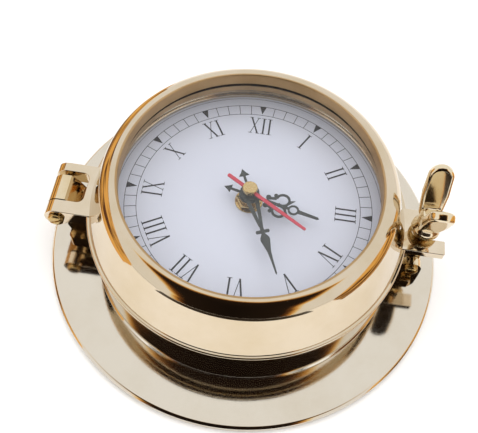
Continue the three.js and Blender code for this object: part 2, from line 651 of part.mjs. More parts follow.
function motionWheel() {
  const body = join(
    gear(36, CANNON_M, ...MOTION_LEVEL, spaceAt(MOTION_ANGLE + 180, 36)),
    gear(10, HOUR_M, MOTION_LEVEL[1] - 0.1, HOUR_LEVEL[1] + 0.2, toothAt(MOTION_ANGLE + 180)),
  );
  return at(cut(body, bore(PIVOT_R + RUN, PIN_SIDES)), ...MOTION);
}

function hourWheel() {
  return cut(
    join(
      gear(40, HOUR_M, ...HOUR_LEVEL, spaceAt(MOTION_ANGLE, 40)),
      disc(PIPE_R, HOUR_LEVEL[0], PIPE_TOP_Z, SMALL_SIDES),
    ),
    bore(CANNON_R + RUN, SMALL_SIDES),
  );
}

function setKnob() {
  const gripTop = REAR_Z - 0.5;
  return at(join(
    gear(KNOB_GRIP_TEETH, KNOB_GRIP_M, gripTop - KNOB_GRIP_T, gripTop),
    disc(KNOB_SHAFT_R, gripTop - 0.1, MIDDLE_PLATE[1] + 1, SMALL_SIDES),
    disc(PIVOT_R, MIDDLE_PLATE[1], MOTION_LEVEL[1] + 2, 8),
    gear(12, CANNON_M, MOTION_LEVEL[0] - 0.3, MOTION_LEVEL[1], toothAt(KNOB_ANGLE + 180)),
  ), ...KNOB);
}

// bush that clamps the movement to the dial plate
function threadedBush() {
  return ring(PIPE_R + 0.25, BUSH_R, FRONT_Z - CASE_T + 0.1, BUSH_TOP_Z, SMALL_SIDES);
}

const BUSH_HOLE_R = around(BUSH_R + 0.1, SMALL_SIDES);
const BUSH_NUT_R = 5.6;
const BUSH_NUT_T = 2;
const HEX_SIDES = 6;
function bushNut() {
  const z0 = DIAL_Z + 1;
  const hole = circle(0, 0, BUSH_HOLE_R, SMALL_SIDES);
  return plate(circle(0, 0, BUSH_NUT_R, HEX_SIDES), z0, z0 + BUSH_NUT_T, [hole]);
}

// ---------------------------------------------------------------- drive electronics and battery
const COIL_X = 8;
const COIL_Y = 21;
const COIL_Z = 21.2;
const COIL_HALF = 8;
const COIL_R = 2.6;
const COIL_BORE_R = 1.2;
function coil() {
  const winding = ring(COIL_BORE_R, COIL_R, -COIL_HALF, COIL_HALF, SMALL_SIDES);
  return at(winding.rotateY(Math.PI / 2), COIL_X, COIL_Y, COIL_Z);
}

// the stator is a flat steel yoke with a round window for the rotor and a leg through the coil
const YOKE_HALF_W = 5.6;
const YOKE_BACK = 5.4;
const WINDOW_R = 3.9;
const LEG_Y = [20.4, 21.6];
const LEG_END_X = -3;
function stator() {
  const left = ROTOR[0] - YOKE_HALF_W;
  const right = ROTOR[0] + YOKE_HALF_W;
  const back = ROTOR[1] - YOKE_BACK;
  return plate([
    [left, back], [right, back], [right, LEG_Y[0]],
    [LEG_END_X, LEG_Y[0]], [LEG_END_X, LEG_Y[1]], [left, LEG_Y[1]],
  ], COIL_Z - 0.5, COIL_Z + 0.1, [circle(...ROTOR, WINDOW_R, SMALL_SIDES)]);
}

const BOARD_X = [2, 20];
const BOARD_Y = [10, 17];
const BOARD_Z = [REAR_INNER + 0.4, REAR_INNER + 1.4];
const CRYSTAL_R = 1;
const CRYSTAL_L = 6;
function crystal() {
  const can = disc(CRYSTAL_R, 0, CRYSTAL_L, 10).rotateY(Math.PI / 2);
  return can.translate(BOARD_X[0] + 2, BOARD_Y[0] + 3.5, BOARD_Z[1] + CRYSTAL_R + 0.3);
}

const NUB_R = 2.6;
const NUB_T = 1;
function battery() {
  const half = BATTERY_L / 2;
  const body = turned([
    [0, -half], [BATTERY_R, -half], [BATTERY_R, half - NUB_T], [NUB_R, half - NUB_T],
    [NUB_R, half], [0, half],
  ], 20);
  return at(body.rotateY(Math.PI / 2), 0, BATTERY_Y, BATTERY_Z);
}

const CONTACT_T = 0.5;
const CONTACT_HALF = 4;
function batteryContact(side) {
  const face = BATTERY_L / 2 + GAP;
  const x0 = side > 0 ? face : -face - CONTACT_T;
  const half = CONTACT_HALF;
  return box(x0, x0 + CONTACT_T, BATTERY_Y - half, BATTERY_Y + half, BATTERY_Z - half, BATTERY_Z + half);
}

// ---------------------------------------------------------------- hands
const HOUR_HAND_Z = 40.9;
const MINUTE_HAND_Z = 42.9;
const SECOND_HAND_Z = 44.7;
const clockwise = (degrees) => THREE.MathUtils.degToRad(-degrees);

const HAND_T = 0.5;
const SECOND_HAND_T = 0.4;
const HAND_FIT = 0.05; // the hands are pushed on

// a stamped hand, symmetrical about +Y, given as [half width, distance] from tail to tip
function handPlate(halves, z0, thickness, shaftR, openings = []) {
  const left = halves.slice().reverse().filter(([w]) => w > 0).map(([w, y]) => [-w, y]);
  const hole = circle(0, 0, around(shaftR + HAND_FIT, PIN_SIDES), PIN_SIDES);
  return plate([...halves, ...left], z0, z0 + thickness, [hole, ...openings]);
}

const HOUR_OUTLINE = [
  [0.3, -11.4], [2, -8.6], [0.6, -7.6], [0.6, -4.1], [3, -3], [4.3, -1.2], [4.3, 1.2], [3, 3.2],
  [1.4, 4.4], [1.4, 6.6], [3.3, 7.4], [3.3, 9], [1.2, 9.8], [2.6, 10.6], [4.6, 9.6], [5.2, 11],
  [6.1, 13.4], [5.8, 15.6], [4.5, 19.2], [3.4, 17.4], [1.6, 17.6], [2.4, 19.8], [1.4, 21.8],
  [0.75, 23], [0.55, 30.8], [0, 31.3],
];
const SCROLL = [2.9, 14.2];
const SCROLL_R = 2.05;
const HOUR_EYE_Y = 19.8;
const HOUR_EYE_R = 1.5;
function hourHand() {
  const [x, y] = SCROLL;
  const openings = [
    circle(x, y, SCROLL_R, PIN_SIDES),
    circle(-x, y, SCROLL_R, PIN_SIDES),
    circle(0, HOUR_EYE_Y, HOUR_EYE_R, PIN_SIDES),
  ];
  return handPlate(HOUR_OUTLINE, HOUR_HAND_Z, HAND_T, PIPE_R, openings).rotateZ(clockwise(HOUR_ANGLE));
}

const MINUTE_OUTLINE = [
  [0.3, -12.2], [2.3, -9], [0.6, -8], [0.6, -3.9], [2.8, -2.8], [4, -1.2], [4, 1.2], [3, 3],
  [2.9, 6], [1.2, 17], [1.4, 18.8], [2.9, 19.2], [2.9, 20.4], [1, 21], [2, 23.6], [0.6, 30],
  [0.3, 39.5], [0, 40],
];
const MINUTE_OPENING = [[-1.8, 6.4], [1.8, 6.4], [0.35, 15.8], [-0.35, 15.8]];
function minuteHand() {
  const flat = handPlate(MINUTE_OUTLINE, MINUTE_HAND_Z, HAND_T, CANNON_R, [MINUTE_OPENING]);
  return flat.rotateZ(clockwise(MINUTE_ANGLE));
}

const SECOND_OUTLINE = [
  [0.85, -12], [0.85, -8], [0.55, -5], [1.7, -1.2], [1.7, 1.2], [0.8, 4], [0.6, 29], [0.2, 29.6],
];
function secondHand() {
  const flat = handPlate(SECOND_OUTLINE, SECOND_HAND_Z, SECOND_HAND_T, ARBOR_R);
  return flat.rotateZ(clockwise(SECOND_ANGLE));
}

const CAP_R = 3.2;
const CAP_T = 2.1;
const CAP_ROUND = 0.9;
function secondHandCap() {
  const z0 = SECOND_HAND_Z + SECOND_HAND_T + SKIN;
  const dome = arc(CAP_R - CAP_ROUND, z0 + CAP_T - CAP_ROUND, CAP_ROUND, 0, 90, 3);
  const body = turned([[0, z0], [CAP_R, z0], ...dome, [0, z0 + CAP_T]], HUB_SIDES);
  const socket = disc(around(ARBOR_R + HAND_FIT, 10), 0, ARBOR_TOP_Z + 0.2, 10);
  return cut(body, socket);
}

// ---------------------------------------------------------------- assembly
add('mounting_flange', brass, mountingFlange());
add('case_drum', brass, caseDrum());
add('hinge_bracket', brass, hingeBracket());
const hingePin = slottedPin(HINGE_X, HINGE_Z, HINGE_HALF, HINGE_HEAD_R, HINGE_PIN_R);
add('hinge_pin', agedBrass, at(hingePin, 0, HINGE_Y));
add('latch_bracket', brass, latchBracket());
add('latch_pivot_pin', agedBrass, slottedPin(LATCH_X, PIVOT_Z, EAR_OUT, PIVOT_HEAD_R, PIVOT_PIN_R));
HINGE_SCREWS.forEach((place, i) => add(`hinge_screw_${i + 1}`, agedBrass, screw(place)));
LATCH_SCREWS.forEach((place, i) => add(`latch_screw_${i + 1}`, agedBrass, screw(place)));
add('door_seal', rubber, ring(...SEAL_R, DRUM_TOP_Z + SKIN, DRUM_TOP_Z + SEAL_T, RING_SIDES));

add('bezel_ring', brass, bezelRing());
const GASKET_Z = [GLASS_TOP_Z + SKIN, LEDGE_UNDER_Z - SKIN];
const SPRING_Z = [GLASS_UNDER_Z - SKIN - SPRING_T, GLASS_UNDER_Z - SKIN];
add('glass_gasket', rubber, ring(GASKET_BORE_R, GLASS_R, ...GASKET_Z, RING_SIDES));
add('glass', glassLook, disc(GLASS_R, GLASS_UNDER_Z, GLASS_TOP_Z, RING_SIDES));
add('glass_retaining_ring', agedBrass, ring(SPRING_R, GLASS_R, ...SPRING_Z, RING_SIDES));

add('swing_bolt', brass, swingBolt());
add('clamp_washer', agedBrass, clampWasher());
add('wing_nut', brass, wingNut());

const PLATE_Z = DIAL_Z - CARD_T - SKIN - PLATE_T;
const SEAT_Z = [PLATE_Z - 3, PLATE_Z - SKIN];
const RIM_Z = [DIAL_Z + SKIN, DIAL_Z + 2];
const CUSHION_Z = [FRONT_Z + SKIN, PLATE_Z - SKIN];
add('dial_seat_ring', agedBrass, ring(SEAT_R, COLLAR_BORE_R - 0.2, ...SEAT_Z, RING_SIDES));
add('dial_plate', aluminium, ring(BUSH_HOLE_R, DIAL_R, PLATE_Z, PLATE_Z + PLATE_T, RING_SIDES));
add('dial_card', paper, ring(BUSH_HOLE_R, DIAL_R, DIAL_Z - CARD_T, DIAL_Z, RING_SIDES));
add('dial_retaining_ring', brass, ring(RIM_R, COLLAR_BORE_R - 0.15, ...RIM_Z, RING_SIDES));

add('movement_front_case', blackPlastic, movementFrontCase());
add('movement_rear_case', blackPlastic, movementRearCase());
add('middle_plate', whitePlastic, middlePlate());
add('threaded_bush', brass, threadedBush());
add('dial_cushion_washer', rubber, ring(BUSH_HOLE_R, CUSHION_R, ...CUSHION_Z, HUB_SIDES));
add('bush_washer', brass, ring(BUSH_HOLE_R, BUSH_WASHER_R, DIAL_Z + SKIN, DIAL_Z + 0.8, HUB_SIDES));
add('bush_nut', brass, bushNut());
add('rotor', steel, rotor());
add('intermediate_wheel', whitePlastic, intermediateWheel());
add('seconds_wheel', steel, secondsWheel());
add('third_wheel', whitePlastic, thirdWheel());
add('minute_wheel', whitePlastic, minuteWheel());
add('cannon_pinion', agedBrass, cannonPinion());
add('motion_wheel', whitePlastic, motionWheel());
add('hour_wheel', whitePlastic, hourWheel());
add('set_knob', whitePlastic, setKnob());
add('coil', copper, coil());
add('stator', steel, stator());
add('circuit_board', boardGreen, box(...BOARD_X, ...BOARD_Y, ...BOARD_Z));
add('quartz_crystal', steel, crystal());
add('aa_battery', batteryWrap, battery());
add('battery_contact_plus', steel, batteryContact(1));
add('battery_contact_minus', steel, batteryContact(-1));

add('hour_hand', blackPaint, hourHand());
add('minute_hand', blackPaint, minuteHand());
add('second_hand', redPaint, secondHand());
add('second_hand_cap', brass, secondHandCap());

export default clock;
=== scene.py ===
"""Ship's deck clock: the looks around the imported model. Blender 4.5.

Lengths are in millimetres in this file and become metres where a mesh is made.
+Z is out of the dial, +Y is twelve o'clock, the hinge is at -X and the latch at +X.
"""
import json
import math

import bmesh
import bpy
from mathutils import Matrix, Vector

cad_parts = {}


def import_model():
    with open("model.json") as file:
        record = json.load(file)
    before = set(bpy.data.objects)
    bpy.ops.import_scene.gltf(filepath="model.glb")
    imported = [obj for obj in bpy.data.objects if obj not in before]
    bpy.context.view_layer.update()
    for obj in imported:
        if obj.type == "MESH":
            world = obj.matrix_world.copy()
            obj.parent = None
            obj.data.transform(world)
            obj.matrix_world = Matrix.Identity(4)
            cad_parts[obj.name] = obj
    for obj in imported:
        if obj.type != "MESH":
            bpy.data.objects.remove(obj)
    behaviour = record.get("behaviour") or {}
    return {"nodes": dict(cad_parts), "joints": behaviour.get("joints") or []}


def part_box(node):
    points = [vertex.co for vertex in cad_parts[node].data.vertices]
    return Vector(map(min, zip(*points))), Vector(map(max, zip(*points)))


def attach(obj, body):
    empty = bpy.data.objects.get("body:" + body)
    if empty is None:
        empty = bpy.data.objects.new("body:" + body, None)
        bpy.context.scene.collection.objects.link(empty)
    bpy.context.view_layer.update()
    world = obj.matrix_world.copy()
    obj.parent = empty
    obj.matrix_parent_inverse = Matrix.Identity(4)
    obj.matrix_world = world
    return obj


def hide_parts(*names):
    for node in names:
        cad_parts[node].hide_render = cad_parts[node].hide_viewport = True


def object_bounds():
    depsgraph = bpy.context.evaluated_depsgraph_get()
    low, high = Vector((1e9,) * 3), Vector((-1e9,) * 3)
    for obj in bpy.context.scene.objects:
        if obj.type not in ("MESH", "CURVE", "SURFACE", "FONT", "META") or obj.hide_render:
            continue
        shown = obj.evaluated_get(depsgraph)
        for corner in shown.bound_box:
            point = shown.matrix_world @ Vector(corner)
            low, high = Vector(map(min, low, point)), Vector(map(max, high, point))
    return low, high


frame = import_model()
cad_low, cad_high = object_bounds()

MM = 0.001


# ---------------------------------------------------------------- the frame's measures, in mm
def node_box(node):
    low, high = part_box(node)
    return [v / MM for v in low], [v / MM for v in high]


def joint_place(name):
    joint = next(j for j in frame["joints"] if j["name"] == name)
    return [v / MM for v in joint["pos_m"]]


_, FLANGE_HIGH = node_box("mounting_flange")
FLANGE_R = FLANGE_HIGH[0]
FLANGE_T = FLANGE_HIGH[2]
_, DRUM_HIGH = node_box("case_drum")
_, BEZEL_HIGH = node_box("bezel_ring")
LIP_R = BEZEL_HIGH[1]
LIP_Z = 29.4  # underside of the bezel's lip, with the door shut
FOOT_Z = FLANGE_T + 0.1  # the brackets stand this high on the flange
HINGE_X, HINGE_Y, HINGE_Z = joint_place("door_hinge")
LATCH_X, _, PIVOT_Z = joint_place("dog_swing")
_, (DIAL_R, _, DIAL_Z) = node_box("dial_card")


# ---------------------------------------------------------------- mesh helpers
def new_object(name, mesh):
    obj = bpy.data.objects.new(name, mesh)
    bpy.context.scene.collection.objects.link(obj)
    return obj


def mesh_from(name, build):
    """A mesh object filled by build(bm), whose points are in millimetres."""
    bm = bmesh.new()
    build(bm)
    bmesh.ops.recalc_face_normals(bm, faces=bm.faces)
    bmesh.ops.scale(bm, vec=(MM, MM, MM), verts=bm.verts)
    mesh = bpy.data.meshes.new(name)
    bm.to_mesh(mesh)
    bm.free()
    return new_object(name, mesh)


def lathe(name, profile, steps=192, centre=(0, 0)):
    """Turns an outline of (radius, height) about Z. It closes on itself unless it starts on the axis."""
    def build(bm):
        rings = []
        for r, z in profile:
            if r < 1e-6:
                rings.append([bm.verts.new((centre[0], centre[1], z))])
                continue
            turn = [math.tau * i / steps for i in range(steps)]
            spots = [(centre[0] + r * math.cos(a), centre[1] + r * math.sin(a), z) for a in turn]
            rings.append([bm.verts.new(spot) for spot in spots])
        pairs = list(zip(rings, rings[1:]))
        if len(rings[0]) > 1:
            pairs.append((rings[-1], rings[0]))
        for a, b in pairs:
            for i in range(steps):
                j = (i + 1) % steps
                if len(a) == 1:
                    bm.faces.new((a[0], b[i], b[j]))
                elif len(b) == 1:
                    bm.faces.new((a[i], a[j], b[0]))
                else:
                    bm.faces.new((a[i], a[j], b[j], b[i]))
    return mesh_from(name, build)


def prism(name, outline, z0, z1):
    def build(bm):
        low = [bm.verts.new((x, y, z0)) for x, y in outline]
        high = [bm.verts.new((x, y, z1)) for x, y in outline]
        bm.faces.new(low[::-1])
        bm.faces.new(high)
        for i in range(len(outline)):
            j = (i + 1) % len(outline)
            bm.faces.new((low[i], low[j], high[j], high[i]))
    return mesh_from(name, build)


def prism_y(name, outline, y0, y1):
    """An outline in the XZ plane, from y0 to y1."""
    obj = prism(name, outline, -y1, -y0)
    obj.data.transform(Matrix.Rotation(math.pi / 2, 4, "X"))
    return obj


def arc(cx, cy, r, a0, a1, steps):
    turn = [math.radians(a0 + (a1 - a0) * i / steps) for i in range(steps + 1)]
    return [(cx + r * math.cos(a), cy + r * math.sin(a)) for a in turn]


def circle(cx, cy, r, steps=48):
    return arc(cx, cy, r, 0, 360 - 360 / steps, steps - 1)


def rounded(corners, steps=6):
    """An outline whose corners, each (x, y, radius), are filleted."""
    points = []
    for i, (x, y, radius) in enumerate(corners):
        here = Vector((x, y))
        before = Vector(corners[i - 1][:2]) - here
        after = Vector(corners[(i + 1) % len(corners)][:2]) - here
        if radius <= 0 or before.length < 1e-6 or after.length < 1e-6:
            points.append((x, y))
            continue
        half = before.angle(after) / 2
        reach = min(radius / math.tan(half), 0.49 * before.length, 0.49 * after.length)
        radius = reach * math.tan(half)
        middle = here + (before.normalized() + after.normalized()).normalized() * (radius / math.sin(half))
        start = here + before.normalized() * reach - middle
        end = here + after.normalized() * reach - middle
        for k in range(steps + 1):
            spoke = start.lerp(end, k / steps)
            points.append(tuple(middle + spoke.normalized() * radius))
    return points


def bake_modifiers(obj):
    graph = bpy.context.evaluated_depsgraph_get()
    graph.update()
    mesh = bpy.data.meshes.new_from_object(obj.evaluated_get(graph))
    old = obj.data
    obj.modifiers.clear()
    obj.data = mesh
    bpy.data.meshes.remove(old)


def combine(obj, tool, operation):
    change = obj.modifiers.new("combine", "BOOLEAN")
    change.operation = operation
    change.solver = "EXACT"
    change.object = tool
    bake_modifiers(obj)
    bpy.data.objects.remove(tool)
    return obj


def carve(obj, tool):
    return combine(obj, tool, "DIFFERENCE")


def weld(obj, tool):
    return combine(obj, tool, "UNION")


def soften(obj, width, segments=3, angle=32):
    bevel = obj.modifiers.new("soften", "BEVEL")
    bevel.width = width * MM
    bevel.segments = segments
    bevel.limit_method = "ANGLE"
    bevel.angle_limit = math.radians(angle)
    bevel.use_clamp_overlap = True
    bake_modifiers(obj)
    return obj


def smooth(obj, angle=32, weighted=False):
    obj.data.shade_smooth()
    obj.data.set_sharp_from_angle(angle=math.radians(angle))
    if weighted:
        obj.modifiers.new("normals", "WEIGHTED_NORMAL").keep_sharp = True
    return obj


def dress(obj, material, body, slot, *replaced):
    """Gives a piece its material, the body that it rides on and the CAD nodes that it stands for."""
    obj.data.materials.clear()
    obj.data.materials.append(material)
    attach(obj, body)
    if replaced:
        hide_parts(*replaced)
    return obj


# ---------------------------------------------------------------- material helpers
class Nodes:
    """A short way to write a node tree."""

    def __init__(self, name):
        self.material = bpy.data.materials.new(name)
        self.material.use_nodes = True
        self.tree = self.material.node_tree
        self.shader = self.tree.nodes["Principled BSDF"]
        self.place = self.tree.nodes.new("ShaderNodeTexCoord").outputs["Object"]

    def link(self, source, target):
        self.tree.links.new(source, target)

    def make(self, kind, **values):
        node = self.tree.nodes.new(kind)
        for key, value in values.items():
            if hasattr(node, key):
                setattr(node, key, value)
            else:
                node.inputs[key.replace("_", " ")].default_value = value
        return node

    def scaled(self, scale):
        mapping = self.make("ShaderNodeMapping")
        mapping.inputs["Scale"].default_value = scale
        self.link(self.place, mapping.inputs["Vector"])
        return mapping.outputs["Vector"]

    def noise(self, scale, detail=3, stretch=(1, 1, 1), rough=0.5):
        node = self.make("ShaderNodeTexNoise", Scale=scale, Detail=detail, Roughness=rough)
        self.link(self.scaled(stretch), node.inputs["Vector"])
        return node.outputs["Fac"]

    def radius(self):
        """Distance from the dial's axis, in metres."""
        split = self.make("ShaderNodeSeparateXYZ")
        self.link(self.place, split.inputs["Vector"])
        flat = self.make("ShaderNodeCombineXYZ")
        self.link(split.outputs["X"], flat.inputs["X"])
        self.link(split.outputs["Y"], flat.inputs["Y"])
        length = self.make("ShaderNodeVectorMath", operation="LENGTH")
        self.link(flat.outputs["Vector"], length.inputs[0])
        return length.outputs["Value"]

    def spread(self, value, low, high, to_low=0.0, to_high=1.0):
        node = self.make("ShaderNodeMapRange")
        node.inputs["From Min"].default_value = low
        node.inputs["From Max"].default_value = high
        node.inputs["To Min"].default_value = to_low
        node.inputs["To Max"].default_value = to_high
        self.link(value, node.inputs["Value"])
        return node.outputs["Result"]

    def blend(self, factor, first, second):
        node = self.make("ShaderNodeMix", data_type="RGBA")
        node.inputs["A"].default_value = (*first, 1)
        node.inputs["B"].default_value = (*second, 1)
        self.link(factor, node.inputs["Factor"])
        return next(o for o in node.outputs if o.type == "RGBA")

    def colour(self, socket):
        self.link(socket, self.shader.inputs["Base Color"])

    def roughness(self, socket):
        self.link(socket, self.shader.inputs["Roughness"])

    def bump(self, height, distance, strength=1.0, after=None):
        node = self.make("ShaderNodeBump")
        node.inputs["Distance"].default_value = distance
        node.inputs["Strength"].default_value = strength
        self.link(height, node.inputs["Height"])
        if after is not None:
            self.link(after, node.inputs["Normal"])
        self.link(node.outputs["Normal"], self.shader.inputs["Normal"])
        return node.outputs["Normal"]


def brass(name, bright, dull, rough, wave, turned_marks, inner=0):
    """Polished brass: faint cloudy tarnish, polishing marks, and a slow waviness in its reflections."""
    n = Nodes(name)
    n.shader.inputs["Metallic"].default_value = 1
    cloud = n.spread(n.noise(35, 5, rough=0.6), 0.42, 0.72)
    tone = n.blend(cloud, bright, dull)
    if inner:  # inside this radius the colour is darker, painted shade on the wall where the bead steps down into the glass recess; the surface there is also rougher
        mix = n.make("ShaderNodeMix", data_type="RGBA")
        n.link(n.spread(n.radius(), inner, inner + 0.0002, 1, 0), mix.inputs["Factor"])
        colours = [socket for socket in mix.inputs if socket.type == "RGBA"]
        n.link(tone, colours[0])
        n.link(n.blend(cloud, (0.52, 0.35, 0.18), (0.40, 0.25, 0.11)), colours[1])
        tone = next(socket for socket in mix.outputs if socket.type == "RGBA")
    n.colour(tone)
    marks = n.noise(900, 2, stretch=(1, 6, 2))
    shine = n.spread(marks, 0.3, 0.75, rough, rough * 2.2)
    if inner:
        total = n.make("ShaderNodeMath", operation="ADD")
        n.link(shine, total.inputs[0])
        n.link(n.spread(n.radius(), inner, inner + 0.0002, 0.33, 0), total.inputs[1])
        shine = total.outputs["Value"]
    n.roughness(shine)
    slow = n.bump(n.noise(22, 1), 0.001, wave)
    fine = n.bump(n.noise(1400, 2, stretch=(1, 5, 2)), 0.00001, 0.12, slow)
    if turned_marks:
        lines = n.make("ShaderNodeTexNoise", noise_dimensions="1D", Scale=2600, Detail=2)
        n.link(n.radius(), lines.inputs["W"])
        n.bump(lines.outputs["Fac"], 0.00001, turned_marks, fine)
    return n.material


def painted(name, base, worn, rough, grain=700, metallic=0.0):
    n = Nodes(name)
    n.shader.inputs["Metallic"].default_value = metallic
    speck = n.noise(grain, 3)
    n.colour(n.blend(n.spread(speck, 0.5, 0.8), base, worn))
    n.roughness(n.spread(n.noise(grain * 0.4, 2), 0.3, 0.7, rough * 0.85, rough * 1.2))
    n.bump(speck, 0.00002, 0.25)
    return n.material


def plastic(name, base, speckle, rough, grain):
    n = Nodes(name)
    skin = n.noise(grain, 4, rough=0.65)
    n.colour(n.blend(n.spread(skin, 0.35, 0.75), base, speckle))
    n.roughness(n.spread(n.noise(grain * 0.2, 2), 0.3, 0.7, rough * 0.9, rough * 1.15))
    n.bump(skin, 0.00005, 0.3)
    return n.material


def paper(name, base, fibre):
    n = Nodes(name)
    pulp = n.noise(1800, 5, stretch=(1, 3, 1), rough=0.7)
    n.colour(n.blend(n.spread(pulp, 0.35, 0.75), base, fibre))
    n.shader.inputs["Roughness"].default_value = 0.62
    n.bump(pulp, 0.00002, 0.3)
    return n.material


def clear_glass(name):
    n = Nodes(name)
    n.shader.inputs["Base Color"].default_value = (0.97, 0.98, 1, 1)
    n.shader.inputs["Alpha"].default_value = 0.025
    n.shader.inputs["Specular IOR Level"].default_value = 0.25
    smear = n.noise(60, 4)
    n.roughness(n.spread(smear, 0.45, 0.75, 0.02, 0.07))
    n.bump(n.noise(15, 1), 0.0001, 0.1)
    return n.material


POLISHED = brass("polished_brass", (0.74, 0.64, 0.50), (0.68, 0.57, 0.41), 0.045, 0.05, 0.0)
# inside 55.2 mm this brass is painted darker, painted shade on the bead's inner wall down into the glass
# recess
BEZEL_SHADED_INSIDE = brass("bezel_brass_shaded_inside", (0.68, 0.58, 0.44), (0.62, 0.51, 0.35), 0.045, 0.05, 0.0, 0.0552)
SPUN = brass("spun_brass", (0.72, 0.66, 0.56), (0.68, 0.61, 0.50), 0.05, 0.07, 0.10)
CAST = brass("cast_brass", (0.78, 0.67, 0.48), (0.66, 0.50, 0.27), 0.07, 0.30, 0.0)
SATIN = brass("satin_brass", (0.62, 0.47, 0.24), (0.42, 0.29, 0.13), 0.24, 0.1, 0.3)
YELLOW = brass("yellow_brass", (0.60, 0.44, 0.20), (0.48, 0.33, 0.13), 0.16, 0.05, 0.2)
STEEL = brass("steel", (0.56, 0.57, 0.58), (0.42, 0.42, 0.43), 0.25, 0.05, 0.1)
COPPER = brass("copper_wire", (0.72, 0.30, 0.14), (0.45, 0.17, 0.08), 0.3, 0.4, 0.0)
ALUMINIUM = brass("aluminium", (0.62, 0.62, 0.63), (0.5, 0.5, 0.51), 0.35, 0.05, 0.5)
BLACK_PLASTIC = plastic("black_plastic", (0.018, 0.018, 0.02), (0.03, 0.03, 0.032), 0.5, 2200)
WHITE_PLASTIC = plastic("white_plastic", (0.78, 0.76, 0.7), (0.7, 0.68, 0.62), 0.42, 1500)
RUBBER = plastic("rubber", (0.02, 0.02, 0.02), (0.04, 0.04, 0.04), 0.8, 900)
BOARD = plastic("board", (0.02, 0.13, 0.05), (0.03, 0.2, 0.08), 0.4, 1200)
HAND_BLACK = painted("black_enamel", (0.012, 0.017, 0.016), (0.035, 0.045, 0.042), 0.42)
HAND_RED = painted("red_enamel", (0.42, 0.018, 0.045), (0.48, 0.035, 0.07), 0.5)
INK = painted("printing_ink", (0.008, 0.008, 0.012), (0.02, 0.02, 0.03), 0.6, 2500)
PAPER = paper("dial_paper", (0.53, 0.56, 0.66), (0.50, 0.53, 0.62))
GLASS = clear_glass("clear_glass")
WRAP = painted("battery_wrap", (0.02, 0.035, 0.06), (0.03, 0.05, 0.08), 0.25, 300)


# ---------------------------------------------------------------- case
def flange():
    bore = 61
    profile = rounded([
        (bore, 0, 0), (FLANGE_R - 0.1, 0, 0.4), (FLANGE_R, FLANGE_T - 0.9, 0.5),
        (FLANGE_R - 1.0, FLANGE_T, 0.9), (bore, FLANGE_T, 0),
    ])
    body = lathe("flange_plate", profile, 256)
    dress(smooth(body), SPUN, "case", "polished_brass", "mounting_flange")


def drum():
    r = DRUM_HIGH[0] - 0.9
    inner = r - 1.8
    rim_in, rim_out = 59.4, 61.2  # the collar round the dial, inside the door's seal
    top, top_under, rim_top = 28.8, 27, DRUM_HIGH[2]
    profile = rounded([
        (inner, FLANGE_T + 0.05, 0), (r + 0.85, FLANGE_T + 0.05, 0.2), (r + 0.8, FLANGE_T + 0.7, 0.3),
        (r, FLANGE_T + 1.7, 0.8), (r, top, 0.5), (rim_out, top, 0.3), (rim_out, rim_top, 0.4),
        (rim_in, rim_top, 0.4), (rim_in, top_under, 0), (inner, top_under, 0.6),
    ], 5)
    body = lathe("drum_shell", profile, 256)
    dress(smooth(body), SPUN, "case", "polished_brass", "case_drum")


def slotted_head(name, x, z, y0, y1, r, material, node):
    """A pin along Y whose near end has a domed, slotted head."""
    head_y = y0 + 1.9
    shank_r = 1.95 if r > 3.2 else 1.75
    profile = [(0, y0), (r * 0.55, y0 + 0.1), (r * 0.85, y0 + 0.4), (r, y0 + 0.9), (r, head_y),
               (shank_r, head_y), (shank_r, y1 - 0.4), (shank_r - 0.4, y1), (0, y1)]
    pin = lathe(name, profile, 48)
    # the outline's height becomes +Y here, so the head, at y0, is on the near side
    pin.data.transform(Matrix.Rotation(-math.pi / 2, 4, "X"))
    pin.data.transform(Matrix.Translation((x * MM, 0, z * MM)))
    left, right, low, high = x - r - 1, x + r + 1, z - 0.45, z + 0.45
    slot = prism_y("slot", [(left, low), (right, low), (right, high), (left, high)], y0 - 1, y0 + 0.9)
    turn = Matrix.Rotation(math.radians(-28), 4, "Y")
    centre = Matrix.Translation((x * MM, 0, z * MM))
    slot.data.transform(centre @ turn @ centre.inverted())
    carve(pin, slot)
    dress(smooth(soften(pin, 0.08, 2), 30), material, "case", "plain_brass", node)


def hinge_bracket():
    inner, outer = -69.9, -79.5
    barrel = 5.3
    half_knuckle, half_foot = 6.3, 11
    post = prism_y("hinge_post", [
        (inner, FOOT_Z), (-77.7, FOOT_Z), (-79.6, FOOT_Z + 4), *arc(-92.4, 15, 12.4, -18, 20, 6),
        (HINGE_X - 4.9, HINGE_Z - 2.4), *arc(HINGE_X, HINGE_Z, barrel, 190, 90, 10),
        (HINGE_X + 2.7, HINGE_Z + barrel), (-75.8, 29), (-71.8, 22), (inner, 15),
    ], HINGE_Y - half_knuckle, HINGE_Y + half_knuckle)
    low, high = HINGE_Y - half_foot, HINGE_Y + half_foot
    base = rounded([(outer, low, 2), (inner, low, 0.6), (inner, high, 0.6), (outer, high, 2)])
    foot = prism("hinge_foot", base, FOOT_Z, 7.4)
    weld(post, foot)
    carve(post, prism_y("bore", circle(HINGE_X, HINGE_Z, 2.05), -40, 40))
    dress(smooth(soften(post, 0.5), 40, True), CAST, "case", "polished_brass", "hinge_bracket")


